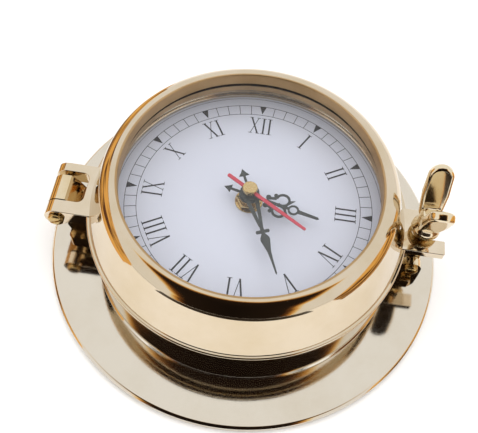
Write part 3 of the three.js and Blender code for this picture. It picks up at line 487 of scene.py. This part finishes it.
def latch_bracket():
    inner, outer = 69.1, 77.1
    ear_in, ear_out, foot_half = 3.6, 7, 11.7
    ear_r = 4.4
    end = LATCH_X + 4
    base = prism("latch_foot", [(inner, -ear_out), (end, -ear_out), (end, ear_out), (inner, ear_out)],
                 FOOT_Z, FOOT_Z + 1.6)
    for side in (-1, 1):
        y0, y1 = sorted((side * ear_in, side * foot_half))
        pad = rounded([(inner, y0, 0.4), (outer, y0, 1), (outer, y1, 1.6), (inner, y1, 0.4)])
        weld(base, prism("pad", pad, FOOT_Z, 6.6))
        y0, y1 = sorted((side * ear_in, side * ear_out))
        ear = [(inner, FOOT_Z), (LATCH_X + ear_r, FOOT_Z), *arc(LATCH_X, PIVOT_Z, ear_r, 0, 120, 12),
               (inner, PIVOT_Z + 3.4)]
        weld(base, prism_y("ear", ear, y0, y1))
    carve(base, prism_y("bore", circle(LATCH_X, PIVOT_Z, 1.86), -20, 20))
    dress(smooth(soften(base, 0.35), 40, True), CAST, "case", "polished_brass", "latch_bracket")


# ---------------------------------------------------------------- door
def bezel():
    middle_r, middle_z, wide, tall = 54.6, 47.5, 8.25, 8.15  # the rounded bead: its centre and half sizes
    rebate_r, rebate_z = 57.6, 50  # the recess for the glass: its wall, and the underside of the ledge
    bead = [(middle_r + wide * x, middle_z + tall * y) for x, y in arc(0, 0, 1, 17.8, 90, 34)]
    lip = rounded([(66, LIP_Z, 0), (LIP_R, LIP_Z, 0.6), (LIP_R, LIP_Z + 2.2, 0.7), (68.4, LIP_Z + 2.2, 0.1),
                   (67.7, LIP_Z + 4.2, 0)], 5)
    profile = [
        *lip, *bead, (54.42, 55.52), (54.33, 55.3), (54.32, 50.1), (54.4, rebate_z),
        (rebate_r, rebate_z), (rebate_r, 44.2), (60.3, 40.4), (63.4, 35.6), (66, 31),
    ]
    ring = lathe("bezel_turned_ring", profile, 256)
    dress(smooth(ring, 38), BEZEL_SHADED_INSIDE, "door", "polished_brass", "bezel_ring")


def keep_clear_of_drum(lug):
    """The lugs stop where the drum and the hollow of the ring begin."""
    for r, z0, z1 in ((68.3, 0, LIP_Z), (66.4, LIP_Z - 1, 40)):
        carve(lug, lathe("clear", [(0, z0), (r, z0), (r, z1), (0, z1)], 128))


def hinge_lug():
    half = 13
    inner, under, over = -64.5, 24.4, 32
    lug = prism_y("hinge_lug", [
        (inner, under), (HINGE_X + 5.6, under), *arc(HINGE_X, HINGE_Z, 5.3, -32, -268, 20), (inner, over),
    ], HINGE_Y - half, HINGE_Y + half)
    # the gap that the bracket's knuckle stands in, wider on its far side
    low, high, corner = HINGE_Y - 6.65, HINGE_Y + 8.6, 3
    gap_x = HINGE_X + 7.5
    carve(lug, prism("gap", [(HINGE_X - 8, low), *arc(gap_x, low + corner, corner, -90, 0, 8),
                             *arc(gap_x, high - corner, corner, 0, 90, 8), (HINGE_X - 8, high)], 0, 60))
    carve(lug, prism_y("bore", circle(HINGE_X, HINGE_Z, 2.06), -40, 40))
    keep_clear_of_drum(lug)
    dress(smooth(soften(lug, 0.55, 3, 40), 40, True), POLISHED, "door", "polished_brass", "bezel_ring")


def latch_fork():
    slot, half = 3.7, 10.5
    inner, end = 64.5, 85.6
    outline = [
        (inner, -half),
        *rounded([(84, -half, 0), (end, -half, 1.4), (end, -slot, 0.5), (80, -slot, 0)])[1:-1],
        *arc(LATCH_X - 1.4, 0, slot, -90, -270, 16),
        *rounded([(80, slot, 0), (end, slot, 0.5), (end, half, 1.4), (84, half, 0)])[1:-1],
        (inner, half),
    ]
    fork = prism("latch_fork", outline, 28.4, 32)
    keep_clear_of_drum(fork)
    dress(smooth(soften(fork, 0.4, 3, 40), 40, True), POLISHED, "door", "polished_brass", "bezel_ring")


def glazing():
    low, high = node_box("glass")
    pane = lathe("glass_pane", rounded([(0, low[2], 0), (high[0], low[2], 0.25), (high[0], high[2], 0.25),
                                        (0, high[2], 0)], 3), 192)
    dress(smooth(pane), GLASS, "door", "glass", "glass")
    low, high = node_box("glass_retaining_ring")
    bore = 55.2
    ring = lathe("glass_spring_ring", rounded([
        (bore, low[2], 0.3), (high[0], low[2], 0.3), (high[0], high[2], 0.1), (bore, high[2], 0.1)], 4), 192)
    dress(smooth(ring), BEZEL_SHADED_INSIDE, "door", "plain_brass", "glass_retaining_ring")
    low, high = node_box("glass_gasket")
    bore = 55.4
    seal = lathe("glass_seal", [(bore, low[2]), (high[0], low[2]), (high[0], high[2]), (bore, high[2])], 192)
    dress(smooth(seal), RUBBER, "door", "rubber", "glass_gasket")


# ---------------------------------------------------------------- swing bolt and wing nut
def swing_bolt():
    rod = prism_y("bolt_eye", circle(LATCH_X, PIVOT_Z, 4.1), -3.3, 3.3)
    neck = prism("neck", rounded([(LATCH_X - 3, -3, 0.5), (LATCH_X + 3, -3, 0.5), (LATCH_X + 3, 3, 0.5),
                                  (LATCH_X - 3, 3, 0.5)], 3), PIVOT_Z + 1, 27)
    weld(rod, neck)
    carve(rod, prism_y("bore", circle(LATCH_X, PIVOT_Z, 1.86), -20, 20))
    dress(smooth(soften(rod, 0.3, 3, 35), 40, True), CAST, "swing_bolt", "polished_brass", "swing_bolt")
    dress(smooth(threaded_stud(), 60), YELLOW, "swing_bolt", "polished_brass", "swing_bolt")


def threaded_stud():
    """An M6 thread, one millimetre a turn, cut as a helix."""
    top = node_box("swing_bolt")[1][2]
    around, rows, pitch, z0 = 40, 8, 1.0, 26.6

    def build(bm):
        count = int((top - z0) / pitch * rows)
        grid = []
        for k in range(count + 1):
            z = z0 + k * pitch / rows
            fade = min(1, (top - z) / 1.2)
            line = []
            for i in range(around):
                a = math.tau * i / around
                wave = abs(((z / pitch - i / around) % 1) * 2 - 1)
                r = 2.45 + 0.5 * wave * fade
                line.append(bm.verts.new((LATCH_X + r * math.cos(a), r * math.sin(a), z)))
            grid.append(line)
        for low, high in zip(grid, grid[1:]):
            for i in range(around):
                j = (i + 1) % around
                bm.faces.new((low[i], low[j], high[j], high[i]))
        bm.faces.new(grid[0][::-1])
        bm.faces.new(grid[-1])
    return mesh_from("bolt_stud", build)


def clamp_washer():
    low, high = node_box("clamp_washer")
    ring = lathe("nut_washer", rounded([(3.15, low[2], 0.15), (6.25, low[2], 0.3), (6.25, high[2], 0.3),
                                        (3.15, high[2], 0.15)], 3), 64, (LATCH_X, 0))
    dress(smooth(ring), YELLOW, "clamp_washer", "plain_brass", "clamp_washer")


def wing_nut():
    """A cast nut: skirt, hub and two broad ears, blended as a casting is."""
    low, high = node_box("wing_nut")
    z0, tip = low[2], high[2]
    nut = lathe("nut_casting", rounded([
        (0, z0, 0), (6.2, z0, 0.3), (6.2, z0 + 1.3, 0.5), (5.0, z0 + 3.6, 1), (4.7, z0 + 8.6, 2),
        (3.4, z0 + 10.3, 1), (0, z0 + 10.3, 0)]), 64, (LATCH_X, 0))
    lean = 0.36  # radians, outward from upright
    length = (tip - z0 - 5) / math.cos(lean) - 0.4
    root, waist, half, thick = 4.6, 5.6, 5.3, 2.1
    for side in (-1, 1):
        top = arc(0, length - half, half, 0, 180, 14)
        ear = prism_y("ear", [(-root, 0), (root, 0), (waist, length * 0.45), *top, (-waist, length * 0.45)],
                      -thick, thick)
        soften(ear, 1.3, 3)
        place = Matrix.Translation((LATCH_X * MM, 3.2 * side * MM, (z0 + 4.5) * MM))
        ear.data.transform(place @ Matrix.Rotation(-lean * side, 4, "X"))
        weld(nut, ear)
    melt = nut.modifiers.new("melt", "REMESH")
    melt.mode = "VOXEL"
    melt.voxel_size = 0.35 * MM
    relax = nut.modifiers.new("relax", "SMOOTH")
    relax.factor = 0.5
    relax.iterations = 6
    bake_modifiers(nut)
    bore, low_end, high_end = 3.07, z0 - 1, 44.2
    hole = [(0, low_end), (bore, low_end), (bore, high_end), (0, high_end)]
    carve(nut, lathe("thread", hole, 40, (LATCH_X, 0)))
    dress(smooth(nut, 50), CAST, "wing_nut", "polished_brass", "wing_nut")


# ---------------------------------------------------------------- dial
PRINT_T = 0.04
PRINT_Z = DIAL_Z + 0.005  # underside of the ink
PRINT_STEP = 0.004  # strokes that cross differ by this much in thickness, so their tops don't coincide
NUMERALS = ["XII", "I", "II", "III", "IV", "V", "VI", "VII", "VIII", "IX", "X", "XI"]
NUMERAL_LOW, NUMERAL_HIGH = 37.3, 46.4
TRACK_IN, TRACK_OUT = 48.2, 53.2


def stroke(a, b, width):
    """A bar between two points, cut square to the line of the numeral."""
    half = width / 2
    return [(a[0] - half, a[1]), (a[0] + half, a[1]), (b[0] + half, b[1]), (b[0] - half, b[1])]


def letter_strokes(letter):
    """The strokes of one letter and its width, all in units of its height."""
    thick, thin, serif = 0.085, 0.034, 0.03
    if letter == "I":
        bars = [stroke((0.12, 0), (0.12, 1), thick)]
        ends = [(0.12, 0, 0.24), (0.12, 1, 0.24)]
        width = 0.24
    elif letter == "V":
        bars = [stroke((0.09, 1), (0.27, 0), thick), stroke((0.46, 1), (0.27, 0), thin)]
        ends = [(0.09, 1, 0.2), (0.46, 1, 0.18)]
        width = 0.55
    else:
        bars = [stroke((0.09, 1), (0.46, 0), thick), stroke((0.45, 1), (0.1, 0), thin)]
        ends = [(0.09, 1, 0.2), (0.45, 1, 0.18), (0.1, 0, 0.18), (0.46, 0, 0.2)]
        width = 0.55
    for x, y, reach in ends:
        y0 = y - serif if y else y
        left, right = x - reach / 2, x + reach / 2
        bars.append([(left, y0), (right, y0), (right, y0 + serif), (left, y0 + serif)])  # a serif
    return bars, width


def add_patch(bm, outline, level=0):
    """A thin printed patch from an outline in the dial's plane."""
    top = PRINT_Z + PRINT_T + level * PRINT_STEP
    low = [bm.verts.new((x, y, PRINT_Z)) for x, y in outline]
    high = [bm.verts.new((x, y, top)) for x, y in outline]
    bm.faces.new(low[::-1])
    bm.faces.new(high)
    for i in range(len(outline)):
        j = (i + 1) % len(outline)
        bm.faces.new((low[i], low[j], high[j], high[i]))


def turned_to(outline, degrees):
    """An outline whose +Y is outward, turned clockwise to its place on the dial."""
    a = math.radians(-degrees)
    return [(x * math.cos(a) - y * math.sin(a), x * math.sin(a) + y * math.cos(a)) for x, y in outline]


def numerals(bm):
    height = NUMERAL_HIGH - NUMERAL_LOW
    for hour, letters in enumerate(NUMERALS):
        parts = [letter_strokes(letter) for letter in letters]
        space = 0.06
        total = sum(width for _, width in parts) + space * (len(parts) - 1)
        left = -total / 2
        for bars, width in parts:
            for level, bar in enumerate(bars):
                shape = [((left + x) * height, NUMERAL_LOW + y * height) for x, y in bar]
                add_patch(bm, turned_to(shape, hour * 30), level)
            left += width + space


def minute_track(bm):
    for minute in range(60):
        if minute % 5:
            shape = [(-0.13, TRACK_IN), (0.13, TRACK_IN), (0.13, TRACK_OUT), (-0.13, TRACK_OUT)]
        else:
            shape = [(0, TRACK_IN + 0.5), (1.5, TRACK_OUT), (-1.5, TRACK_OUT)]
        add_patch(bm, turned_to(shape, minute * 6), 1)


def printed_ring(name, r, width):
    top = PRINT_Z + PRINT_T
    ring = lathe(name, [(r, PRINT_Z), (r + width, PRINT_Z), (r + width, top), (r, top)], 256)
    dress(smooth(ring), INK, "case", "black_enamel")


def dial():
    low, _ = node_box("dial_card")
    hole = 4.2
    sheet = [(hole, low[2]), (DIAL_R, low[2]), (DIAL_R, DIAL_Z), (hole, DIAL_Z)]
    card = lathe("dial_paper_card", sheet, 192)
    dress(smooth(card), PAPER, "case", "dial_paper", "dial_card")
    dress(mesh_from("dial_numerals", numerals), INK, "case", "black_enamel")
    dress(mesh_from("dial_minute_marks", minute_track), INK, "case", "black_enamel")
    line = 0.24
    printed_ring("track_circle_inner", TRACK_IN - line / 2, line)
    printed_ring("track_circle_outer", TRACK_OUT, line)
    printed_ring("dial_edge_circle", 57.4, 0.16)


def dial_rings():
    low, high = node_box("dial_retaining_ring")
    ring = lathe("dial_rim", rounded([(58.3, low[2], 0.2), (high[0], low[2], 0), (high[0], high[2], 0.3),
                                      (58.3, high[2], 0.6)], 4), 192)
    dress(smooth(ring), POLISHED, "case", "polished_brass", "dial_retaining_ring")
    low, high = node_box("bush_washer")
    washer = lathe("dial_washer", rounded([(4.1, low[2], 0), (high[0], low[2], 0.2), (high[0], high[2], 0.25),
                                           (4.1, high[2], 0.1)], 3), 64)
    dress(smooth(washer), YELLOW, "case", "polished_brass", "bush_washer")
    low, high = node_box("bush_nut")
    nut = prism("dial_nut", circle(0, 0, 5.55, 6), low[2], high[2])
    carve(nut, lathe("bore", [(0, 0), (4.08, 0), (4.08, 60), (0, 60)], 48))
    dress(smooth(soften(nut, 0.25, 2), 30), YELLOW, "case", "polished_brass", "bush_nut")
    low, high = node_box("threaded_bush")
    rows = int((high[2] - low[2]) / 0.35)
    bore, root, crest = 2.1, 3.75, 3.98
    outline = [(bore, low[2])]
    for k in range(rows + 1):
        outline.append((root if k % 2 else crest, low[2] + (high[2] - low[2]) * k / rows))
    outline.append((bore, high[2]))
    bush = lathe("dial_bush", outline, 64)
    dress(smooth(bush, 50), YELLOW, "case", "polished_brass", "threaded_bush")


# ---------------------------------------------------------------- hands
HOUR_TURN, MINUTE_TURN, SECOND_TURN = 103.5, 157, 122  # degrees clockwise from twelve


def curve_band(name, points, width, z0, thick):
    """A flat ribbon of constant width along a smooth line, as a stamped hand's scrollwork is."""
    def build(bm):
        line = [Vector(p) for p in points]
        sides = []
        for i, here in enumerate(line):
            ahead = line[min(i + 1, len(line) - 1)] - line[max(i - 1, 0)]
            across = Vector((-ahead.y, ahead.x)).normalized()
            sides.append((here + across * width / 2, here - across * width / 2))
        left = [s[0] for s in sides]
        right = [s[1] for s in sides][::-1]
        outline = left + right
        low = [bm.verts.new((p.x, p.y, z0)) for p in outline]
        high = [bm.verts.new((p.x, p.y, z0 + thick)) for p in outline]
        half = len(line)
        for a, flip in ((low, True), (high, False)):
            for i in range(half - 1):
                quad = (a[i], a[i + 1], a[2 * half - 2 - i], a[2 * half - 1 - i])
                bm.faces.new(quad[::-1] if flip else quad)
        for i in range(len(outline)):
            j = (i + 1) % len(outline)
            bm.faces.new((low[i], low[j], high[j], high[i]))
    return mesh_from(name, build)


def weld_all(parts):
    whole = parts[0]
    for part in parts[1:]:
        weld(whole, part)
    return whole


def finish_hand(hand, turn, hole, z0, material, body, slot, node):
    carve(hand, lathe("hole", [(0, z0 - 2), (hole, z0 - 2), (hole, z0 + 3), (0, z0 + 3)], 40))
    hand.data.transform(Matrix.Rotation(math.radians(-turn), 4, "Z"))
    dress(smooth(soften(hand, 0.07, 2, 40), 35), material, body, slot, node)


def mirrored(edge, tip):
    """A pointed outline from its right-hand edge: left foot, right side, tip, then left side."""
    left = [(-x, y) for x, y in edge]
    return [left[0], *edge, tip, *left[:0:-1]]


def ring_piece(cx, cy, r, width, z0, thick):
    piece = prism("loop", circle(cx, cy, r + width / 2, 40), z0, z0 + thick)
    return carve(piece, prism("loop_hole", circle(cx, cy, r - width / 2, 32), z0 - 1, z0 + thick + 1))


def tail(z0, thick, reach, size):
    """The barbed counterweight behind the hub."""
    barb, notch = (size * 0.62, -reach + size * 0.95), (size * 0.3, -reach + size * 0.55)
    shape = [(-0.55, 0), (-0.5, -reach + size), (-barb[0], barb[1]), (-notch[0], notch[1]),
             (0, -reach), notch, barb, (0.5, -reach + size), (0.55, 0)]
    return prism("tail", shape[::-1], z0, z0 + thick)


def hour_hand():
    low, high = node_box("hour_hand")
    z0, thick = low[2], high[2] - low[2]
    parts = [prism("hour_scroll_hand", circle(0, 0, 4.4), z0, z0 + thick), tail(z0, thick, 11.4, 3.2),
             prism("stem", [(-0.8, 3), (0.8, 3), (0.55, 18), (-0.55, 18)], z0, z0 + thick)]
    for side in (-1, 1):
        parts.append(prism("bud", circle(side * 2.1, 8, 1.1, 20), z0, z0 + thick))
        start = 90 + 180 * side
        loop = arc(side * 2.9, 14.2, 2.7, start, start + 300 * side, 34)
        parts.append(curve_band("scroll", loop, 1.0, z0, thick))
        link = [(side * 2.1, 8), (side * 3.4, 11), (side * 2.3, 11.6), (side * 1, 8)]
        parts.append(prism("link", link[::side], z0, z0 + thick))
        parts.append(prism("bud", circle(side * 4.1, 10.6, 0.8, 20), z0, z0 + thick))
        thorn = [(side * 3.3, 16.4), (side * 4.5, 19.2), (side * 1.9, 17.3)]
        parts.append(prism("thorn", thorn[::side], z0, z0 + thick))
    parts.append(ring_piece(0, 19.8, 2.0, 0.8, z0, thick))
    edge = [(0.9, 21.6), (0.75, 24), (0.55, 30.4)]
    parts.append(prism("pointer", mirrored(edge, (0, 31.2)), z0, z0 + thick))
    finish_hand(weld_all(parts), HOUR_TURN, 1.9, z0, HAND_BLACK, "hour_pipe", "black_enamel", "hour_hand")


def minute_hand():
    low, high = node_box("minute_hand")
    z0, thick = low[2], high[2] - low[2]
    parts = [prism("minute_leaf_hand", circle(0, 0, 4.1), z0, z0 + thick), tail(z0, thick, 12.2, 3.6)]
    for side in (-1, 1):
        limb = [(side * 1.2, 3), (side * 3.1, 2.4), (side * 0.9, 17.2), (side * -0.3, 17.2)]
        parts.append(prism("limb", limb[::side], z0, z0 + thick))
    parts.append(prism("neck", [(-0.75, 16.4), (0.75, 16.4), (0.85, 21.6), (-0.85, 21.6)], z0, z0 + thick))
    bar = rounded([(-2.9, 19.1, 0.6), (2.9, 19.1, 0.6), (2.9, 20.5, 0.6), (-2.9, 20.5, 0.6)], 5)
    parts.append(prism("crossbar", bar, z0, z0 + thick))
    edge = [(0.8, 21), (1.8, 22.6), (2.0, 23.8), (1.5, 26), (0.75, 29.5), (0.5, 33), (0.3, 39.4)]
    parts.append(prism("leaf", mirrored(edge, (0, 40)), z0, z0 + thick))
    finish_hand(weld_all(parts), MINUTE_TURN, 1.1, z0, HAND_BLACK, "minute_arbor", "black_enamel",
                "minute_hand")


def second_hand():
    low, high = node_box("second_hand")
    z0, thick = low[2], high[2] - low[2]
    blade = prism("second_sweep_hand", rounded([
        (-0.85, -12, 0.6), (0.85, -12, 0.6), (0.8, 0, 0), (0.78, 15, 0), (0.6, 29.4, 0.55),
        (-0.6, 29.4, 0.55), (-0.78, 15, 0), (-0.8, 0, 0)]), z0, z0 + thick)
    hand = weld(blade, prism("boss", circle(0, 0, 1.7), z0, z0 + thick))
    finish_hand(hand, SECOND_TURN, 0.52, z0, HAND_RED, "seconds_arbor", "red_enamel", "second_hand")
    low, high = node_box("second_hand_cap")
    z0, z1 = low[2], high[2]
    r = high[0]
    cap = lathe("hand_cap", [(0, z0), *arc(r - 0.2, z0 + 0.2, 0.2, 270, 360, 4), (r, z1 - 0.8),
                             *arc(r - 0.5, z1 - 0.75, 0.5, 0, 80, 6), (1.2, z1 - 0.05), (0, z1)], 64)
    dress(smooth(cap, 40), YELLOW, "seconds_arbor", "polished_brass", "second_hand_cap")


# ---------------------------------------------------------------- movement, seen from behind
def battery():
    low, high = node_box("aa_battery")
    y, z = (low[1] + high[1]) / 2, (low[2] + high[2]) / 2
    r = (high[1] - low[1]) / 2
    end = high[0]
    wrap = rounded([(r - 1, low[0], 0), (r, low[0], 0.5), (r, end - 1, 0.6), (r - 1.6, end - 1, 0)])[1:-1]
    profile = [(0, low[0]), *wrap, (2.7, end - 1.05), (2.6, end - 0.2), (2.3, end), (0, end)]
    cell = lathe("battery_cell", profile, 64)
    cell.data.transform(Matrix.Rotation(math.pi / 2, 4, "Y"))
    cell.data.transform(Matrix.Translation((0, y * MM, z * MM)))
    dress(smooth(cell, 40), WRAP, "case", "battery_wrap", "aa_battery")


CAD_LOOKS = {
    "door_seal": RUBBER, "dial_cushion_washer": RUBBER, "dial_seat_ring": SATIN, "dial_plate": ALUMINIUM,
    "movement_front_case": BLACK_PLASTIC, "movement_rear_case": BLACK_PLASTIC, "middle_plate": WHITE_PLASTIC,
    "intermediate_wheel": WHITE_PLASTIC, "third_wheel": WHITE_PLASTIC, "minute_wheel": WHITE_PLASTIC,
    "motion_wheel": WHITE_PLASTIC, "hour_wheel": WHITE_PLASTIC, "set_knob": WHITE_PLASTIC, "rotor": STEEL,
    "seconds_wheel": STEEL, "stator": STEEL, "quartz_crystal": STEEL, "battery_contact_plus": STEEL,
    "battery_contact_minus": STEEL, "coil": COPPER, "circuit_board": BOARD, "cannon_pinion": SATIN,
    "hinge_screw_1": SATIN, "hinge_screw_2": SATIN, "latch_screw_1": SATIN, "latch_screw_2": SATIN,
}


def look_over_cad_nodes():
    for node, material in CAD_LOOKS.items():
        for slot in frame["nodes"][node].material_slots:
            slot.material = material


# ---------------------------------------------------------------- studio
DARK_HALF = 0.58  # half width of the dark area, as a sine
DARK_FROM, DARK_TO = -15, 92  # degrees up from the front and over the top
DARK_RAGGED = 0.14  # how far the noise moves its edge
FLOOR_SIZE = 6000
WOOD = ((1.0, 0.55, 0.14), (0.12, 0.035, 0.01))  # the light and dark of each surround
SHADE = ((0.02, 0.012, 0.008), (0.008, 0.006, 0.005))


def world():
    """A white studio with one dark, brown-edged area over the front, as of a camera and its operator."""
    sky = bpy.data.worlds.new("studio")
    bpy.context.scene.world = sky
    sky.use_nodes = True
    tree = sky.node_tree

    def maths(operation, *values):
        node = tree.nodes.new("ShaderNodeMath")
        node.operation = operation
        for socket, value in zip(node.inputs, values):
            if isinstance(value, (int, float)):
                socket.default_value = value
            else:
                tree.links.new(value, socket)
        return node.outputs["Value"]

    place = tree.nodes.new("ShaderNodeTexCoord").outputs["Generated"]
    split = tree.nodes.new("ShaderNodeSeparateXYZ")
    tree.links.new(place, split.inputs["Vector"])
    noise = tree.nodes.new("ShaderNodeTexNoise")
    noise.inputs["Scale"].default_value = 3.2
    noise.inputs["Detail"].default_value = 4
    tree.links.new(place, noise.inputs["Vector"])
    over = maths("ARCTAN2", split.outputs["Z"], maths("MULTIPLY", split.outputs["Y"], -1.0))
    beside = maths("SUBTRACT", maths("ABSOLUTE", split.outputs["X"]), DARK_HALF)
    below = maths("SUBTRACT", math.radians(DARK_FROM), over)
    beyond = maths("SUBTRACT", over, math.radians(DARK_TO))
    outside = maths("MAXIMUM", maths("MAXIMUM", beside, maths("MULTIPLY", below, 1.6)), beyond)
    ragged = maths("MULTIPLY_ADD", noise.outputs["Fac"], DARK_RAGGED, outside)
    ramp = tree.nodes.new("ShaderNodeValToRGB")
    stops = ramp.color_ramp.elements
    stops[0].position, stops[0].color = 0.0, (0.008, 0.006, 0.005, 1)
    stops[1].position, stops[1].color = 1.0, (1, 1, 1, 1)
    for position, colour in (
        (0.64, (0.02, 0.012, 0.008, 1)), (0.695, (0.16, 0.06, 0.016, 1)), (0.735, (0.75, 0.36, 0.08, 1)),
        (0.765, (1, 0.76, 0.36, 1)), (0.79, (1, 0.98, 0.95, 1)),
    ):
        stop = stops.new(position)
        stop.color = colour
    tree.links.new(maths("ADD", ragged, 0.70), ramp.inputs["Fac"])
    back = tree.nodes["Background"]
    back.inputs["Strength"].default_value = 1.0
    tree.links.new(ramp.outputs["Color"], back.inputs["Color"])


def soft_light(name, place, size, power):
    data = bpy.data.lights.new(name, "AREA")
    data.shape = "SQUARE"
    data.size = size
    data.energy = power
    light = bpy.data.objects.new(name, data)
    light.location = place
    light.rotation_mode = "QUATERNION"
    light.rotation_quaternion = (-Vector(place)).to_track_quat("-Z", "Y")
    light.visible_glossy = False
    bpy.context.scene.collection.objects.link(light)


def floor():
    def build(bm):
        bmesh.ops.create_grid(bm, x_segments=2, y_segments=2, size=FLOOR_SIZE)
    plane = mesh_from("floor", build)
    plane.location.z = cad_low[2] - 0.0002
    n = Nodes("floor_paper")
    n.colour(n.blend(n.noise(90, 4), (0.93, 0.93, 0.93), (0.9, 0.9, 0.9)))
    n.shader.inputs["Roughness"].default_value = 0.9
    n.shader.inputs["Specular IOR Level"].default_value = 0.1
    plane.data.materials.append(n.material)


def card(name, start, end, near, far, height, light, dark):
    """A surround that shows only in reflections, like a studio table's edge, highest in its middle.

    It goes from start to end, in degrees about the dial.
    """
    def build(bm):
        steps = 48
        foot = cad_low[2] / MM + 0.5
        rows = []
        for i in range(steps + 1):
            a = math.radians(start + (end - start) * i / steps)
            top = height * (0.25 + 0.75 * math.sin(math.pi * i / steps))
            line = ((near, foot), (far, foot), (far, top))
            rows.append([bm.verts.new((r * math.cos(a), r * math.sin(a), z)) for r, z in line])
        for low, high in zip(rows, rows[1:]):
            for k in range(2):
                bm.faces.new((low[k], high[k], high[k + 1], low[k + 1]))
    sheet = mesh_from(name, build)
    n = Nodes(name + "_surface")
    n.shader.inputs["Base Color"].default_value = (0, 0, 0, 1)
    n.link(n.blend(n.spread(n.noise(6, 4, stretch=(1, 1, 2)), 0.45, 0.6), light, dark),
           n.shader.inputs["Emission Color"])
    n.shader.inputs["Emission Strength"].default_value = 1
    sheet.data.materials.append(n.material)
    sheet.visible_camera = False
    sheet.visible_diffuse = False
    sheet.visible_shadow = False


def camera():
    """The photograph's view: where the camera stands, and its azimuth, elevation and roll in degrees."""
    azimuth, elevation, roll = (math.radians(a) for a in (3.638, 58.398, 4.990))
    place = Vector((7.18, -169.72, 298.96)) * MM
    back = Vector((math.sin(azimuth) * math.cos(elevation), -math.cos(azimuth) * math.cos(elevation),
                   math.sin(elevation)))
    level = Vector((math.cos(azimuth), math.sin(azimuth), 0))
    upright = back.cross(level)
    right = level * math.cos(roll) + upright * math.sin(roll)
    up = back.cross(right)
    data = bpy.data.cameras.new("camera")
    data.sensor_width = 36
    data.lens = 54.77
    data.clip_start = 0.01
    cam = bpy.data.objects.new("camera", data)
    turn = Matrix((right, up, back)).transposed().to_4x4()
    cam.matrix_world = Matrix.Translation(place) @ turn
    bpy.context.scene.collection.objects.link(cam)
    bpy.context.scene.camera = cam


def view_settings():
    bpy.context.scene.view_settings.view_transform = "Standard"


camera()
view_settings()
world()
soft_light("key", (-0.3, -0.1, 1.2), 2.6, 15.5)
soft_light("fill", (0.4, -0.3, 1.2), 2.6, 12.5)
floor()
card("wood_left", 118, 208, 140, 450, 310, *WOOD)
card("wood_right", -34, 25, 140, 450, 190, *WOOD)
card("dark_front", 228, 312, 225, 1200, 30, *SHADE)

flange()
drum()
hinge_bracket()
slotted_head("hinge_pin_slotted", HINGE_X, HINGE_Z, HINGE_Y - 15.1, HINGE_Y + 13.4, 3.45, YELLOW, "hinge_pin")
latch_bracket()
slotted_head("latch_pin_slotted", LATCH_X, PIVOT_Z, -8.9, 7.3, 2.95, YELLOW, "latch_pivot_pin")
bezel()
hinge_lug()
latch_fork()
glazing()
swing_bolt()
clamp_washer()
wing_nut()
dial()
dial_rings()
hour_hand()
minute_hand()
second_hand()
battery()
look_over_cad_nodes()
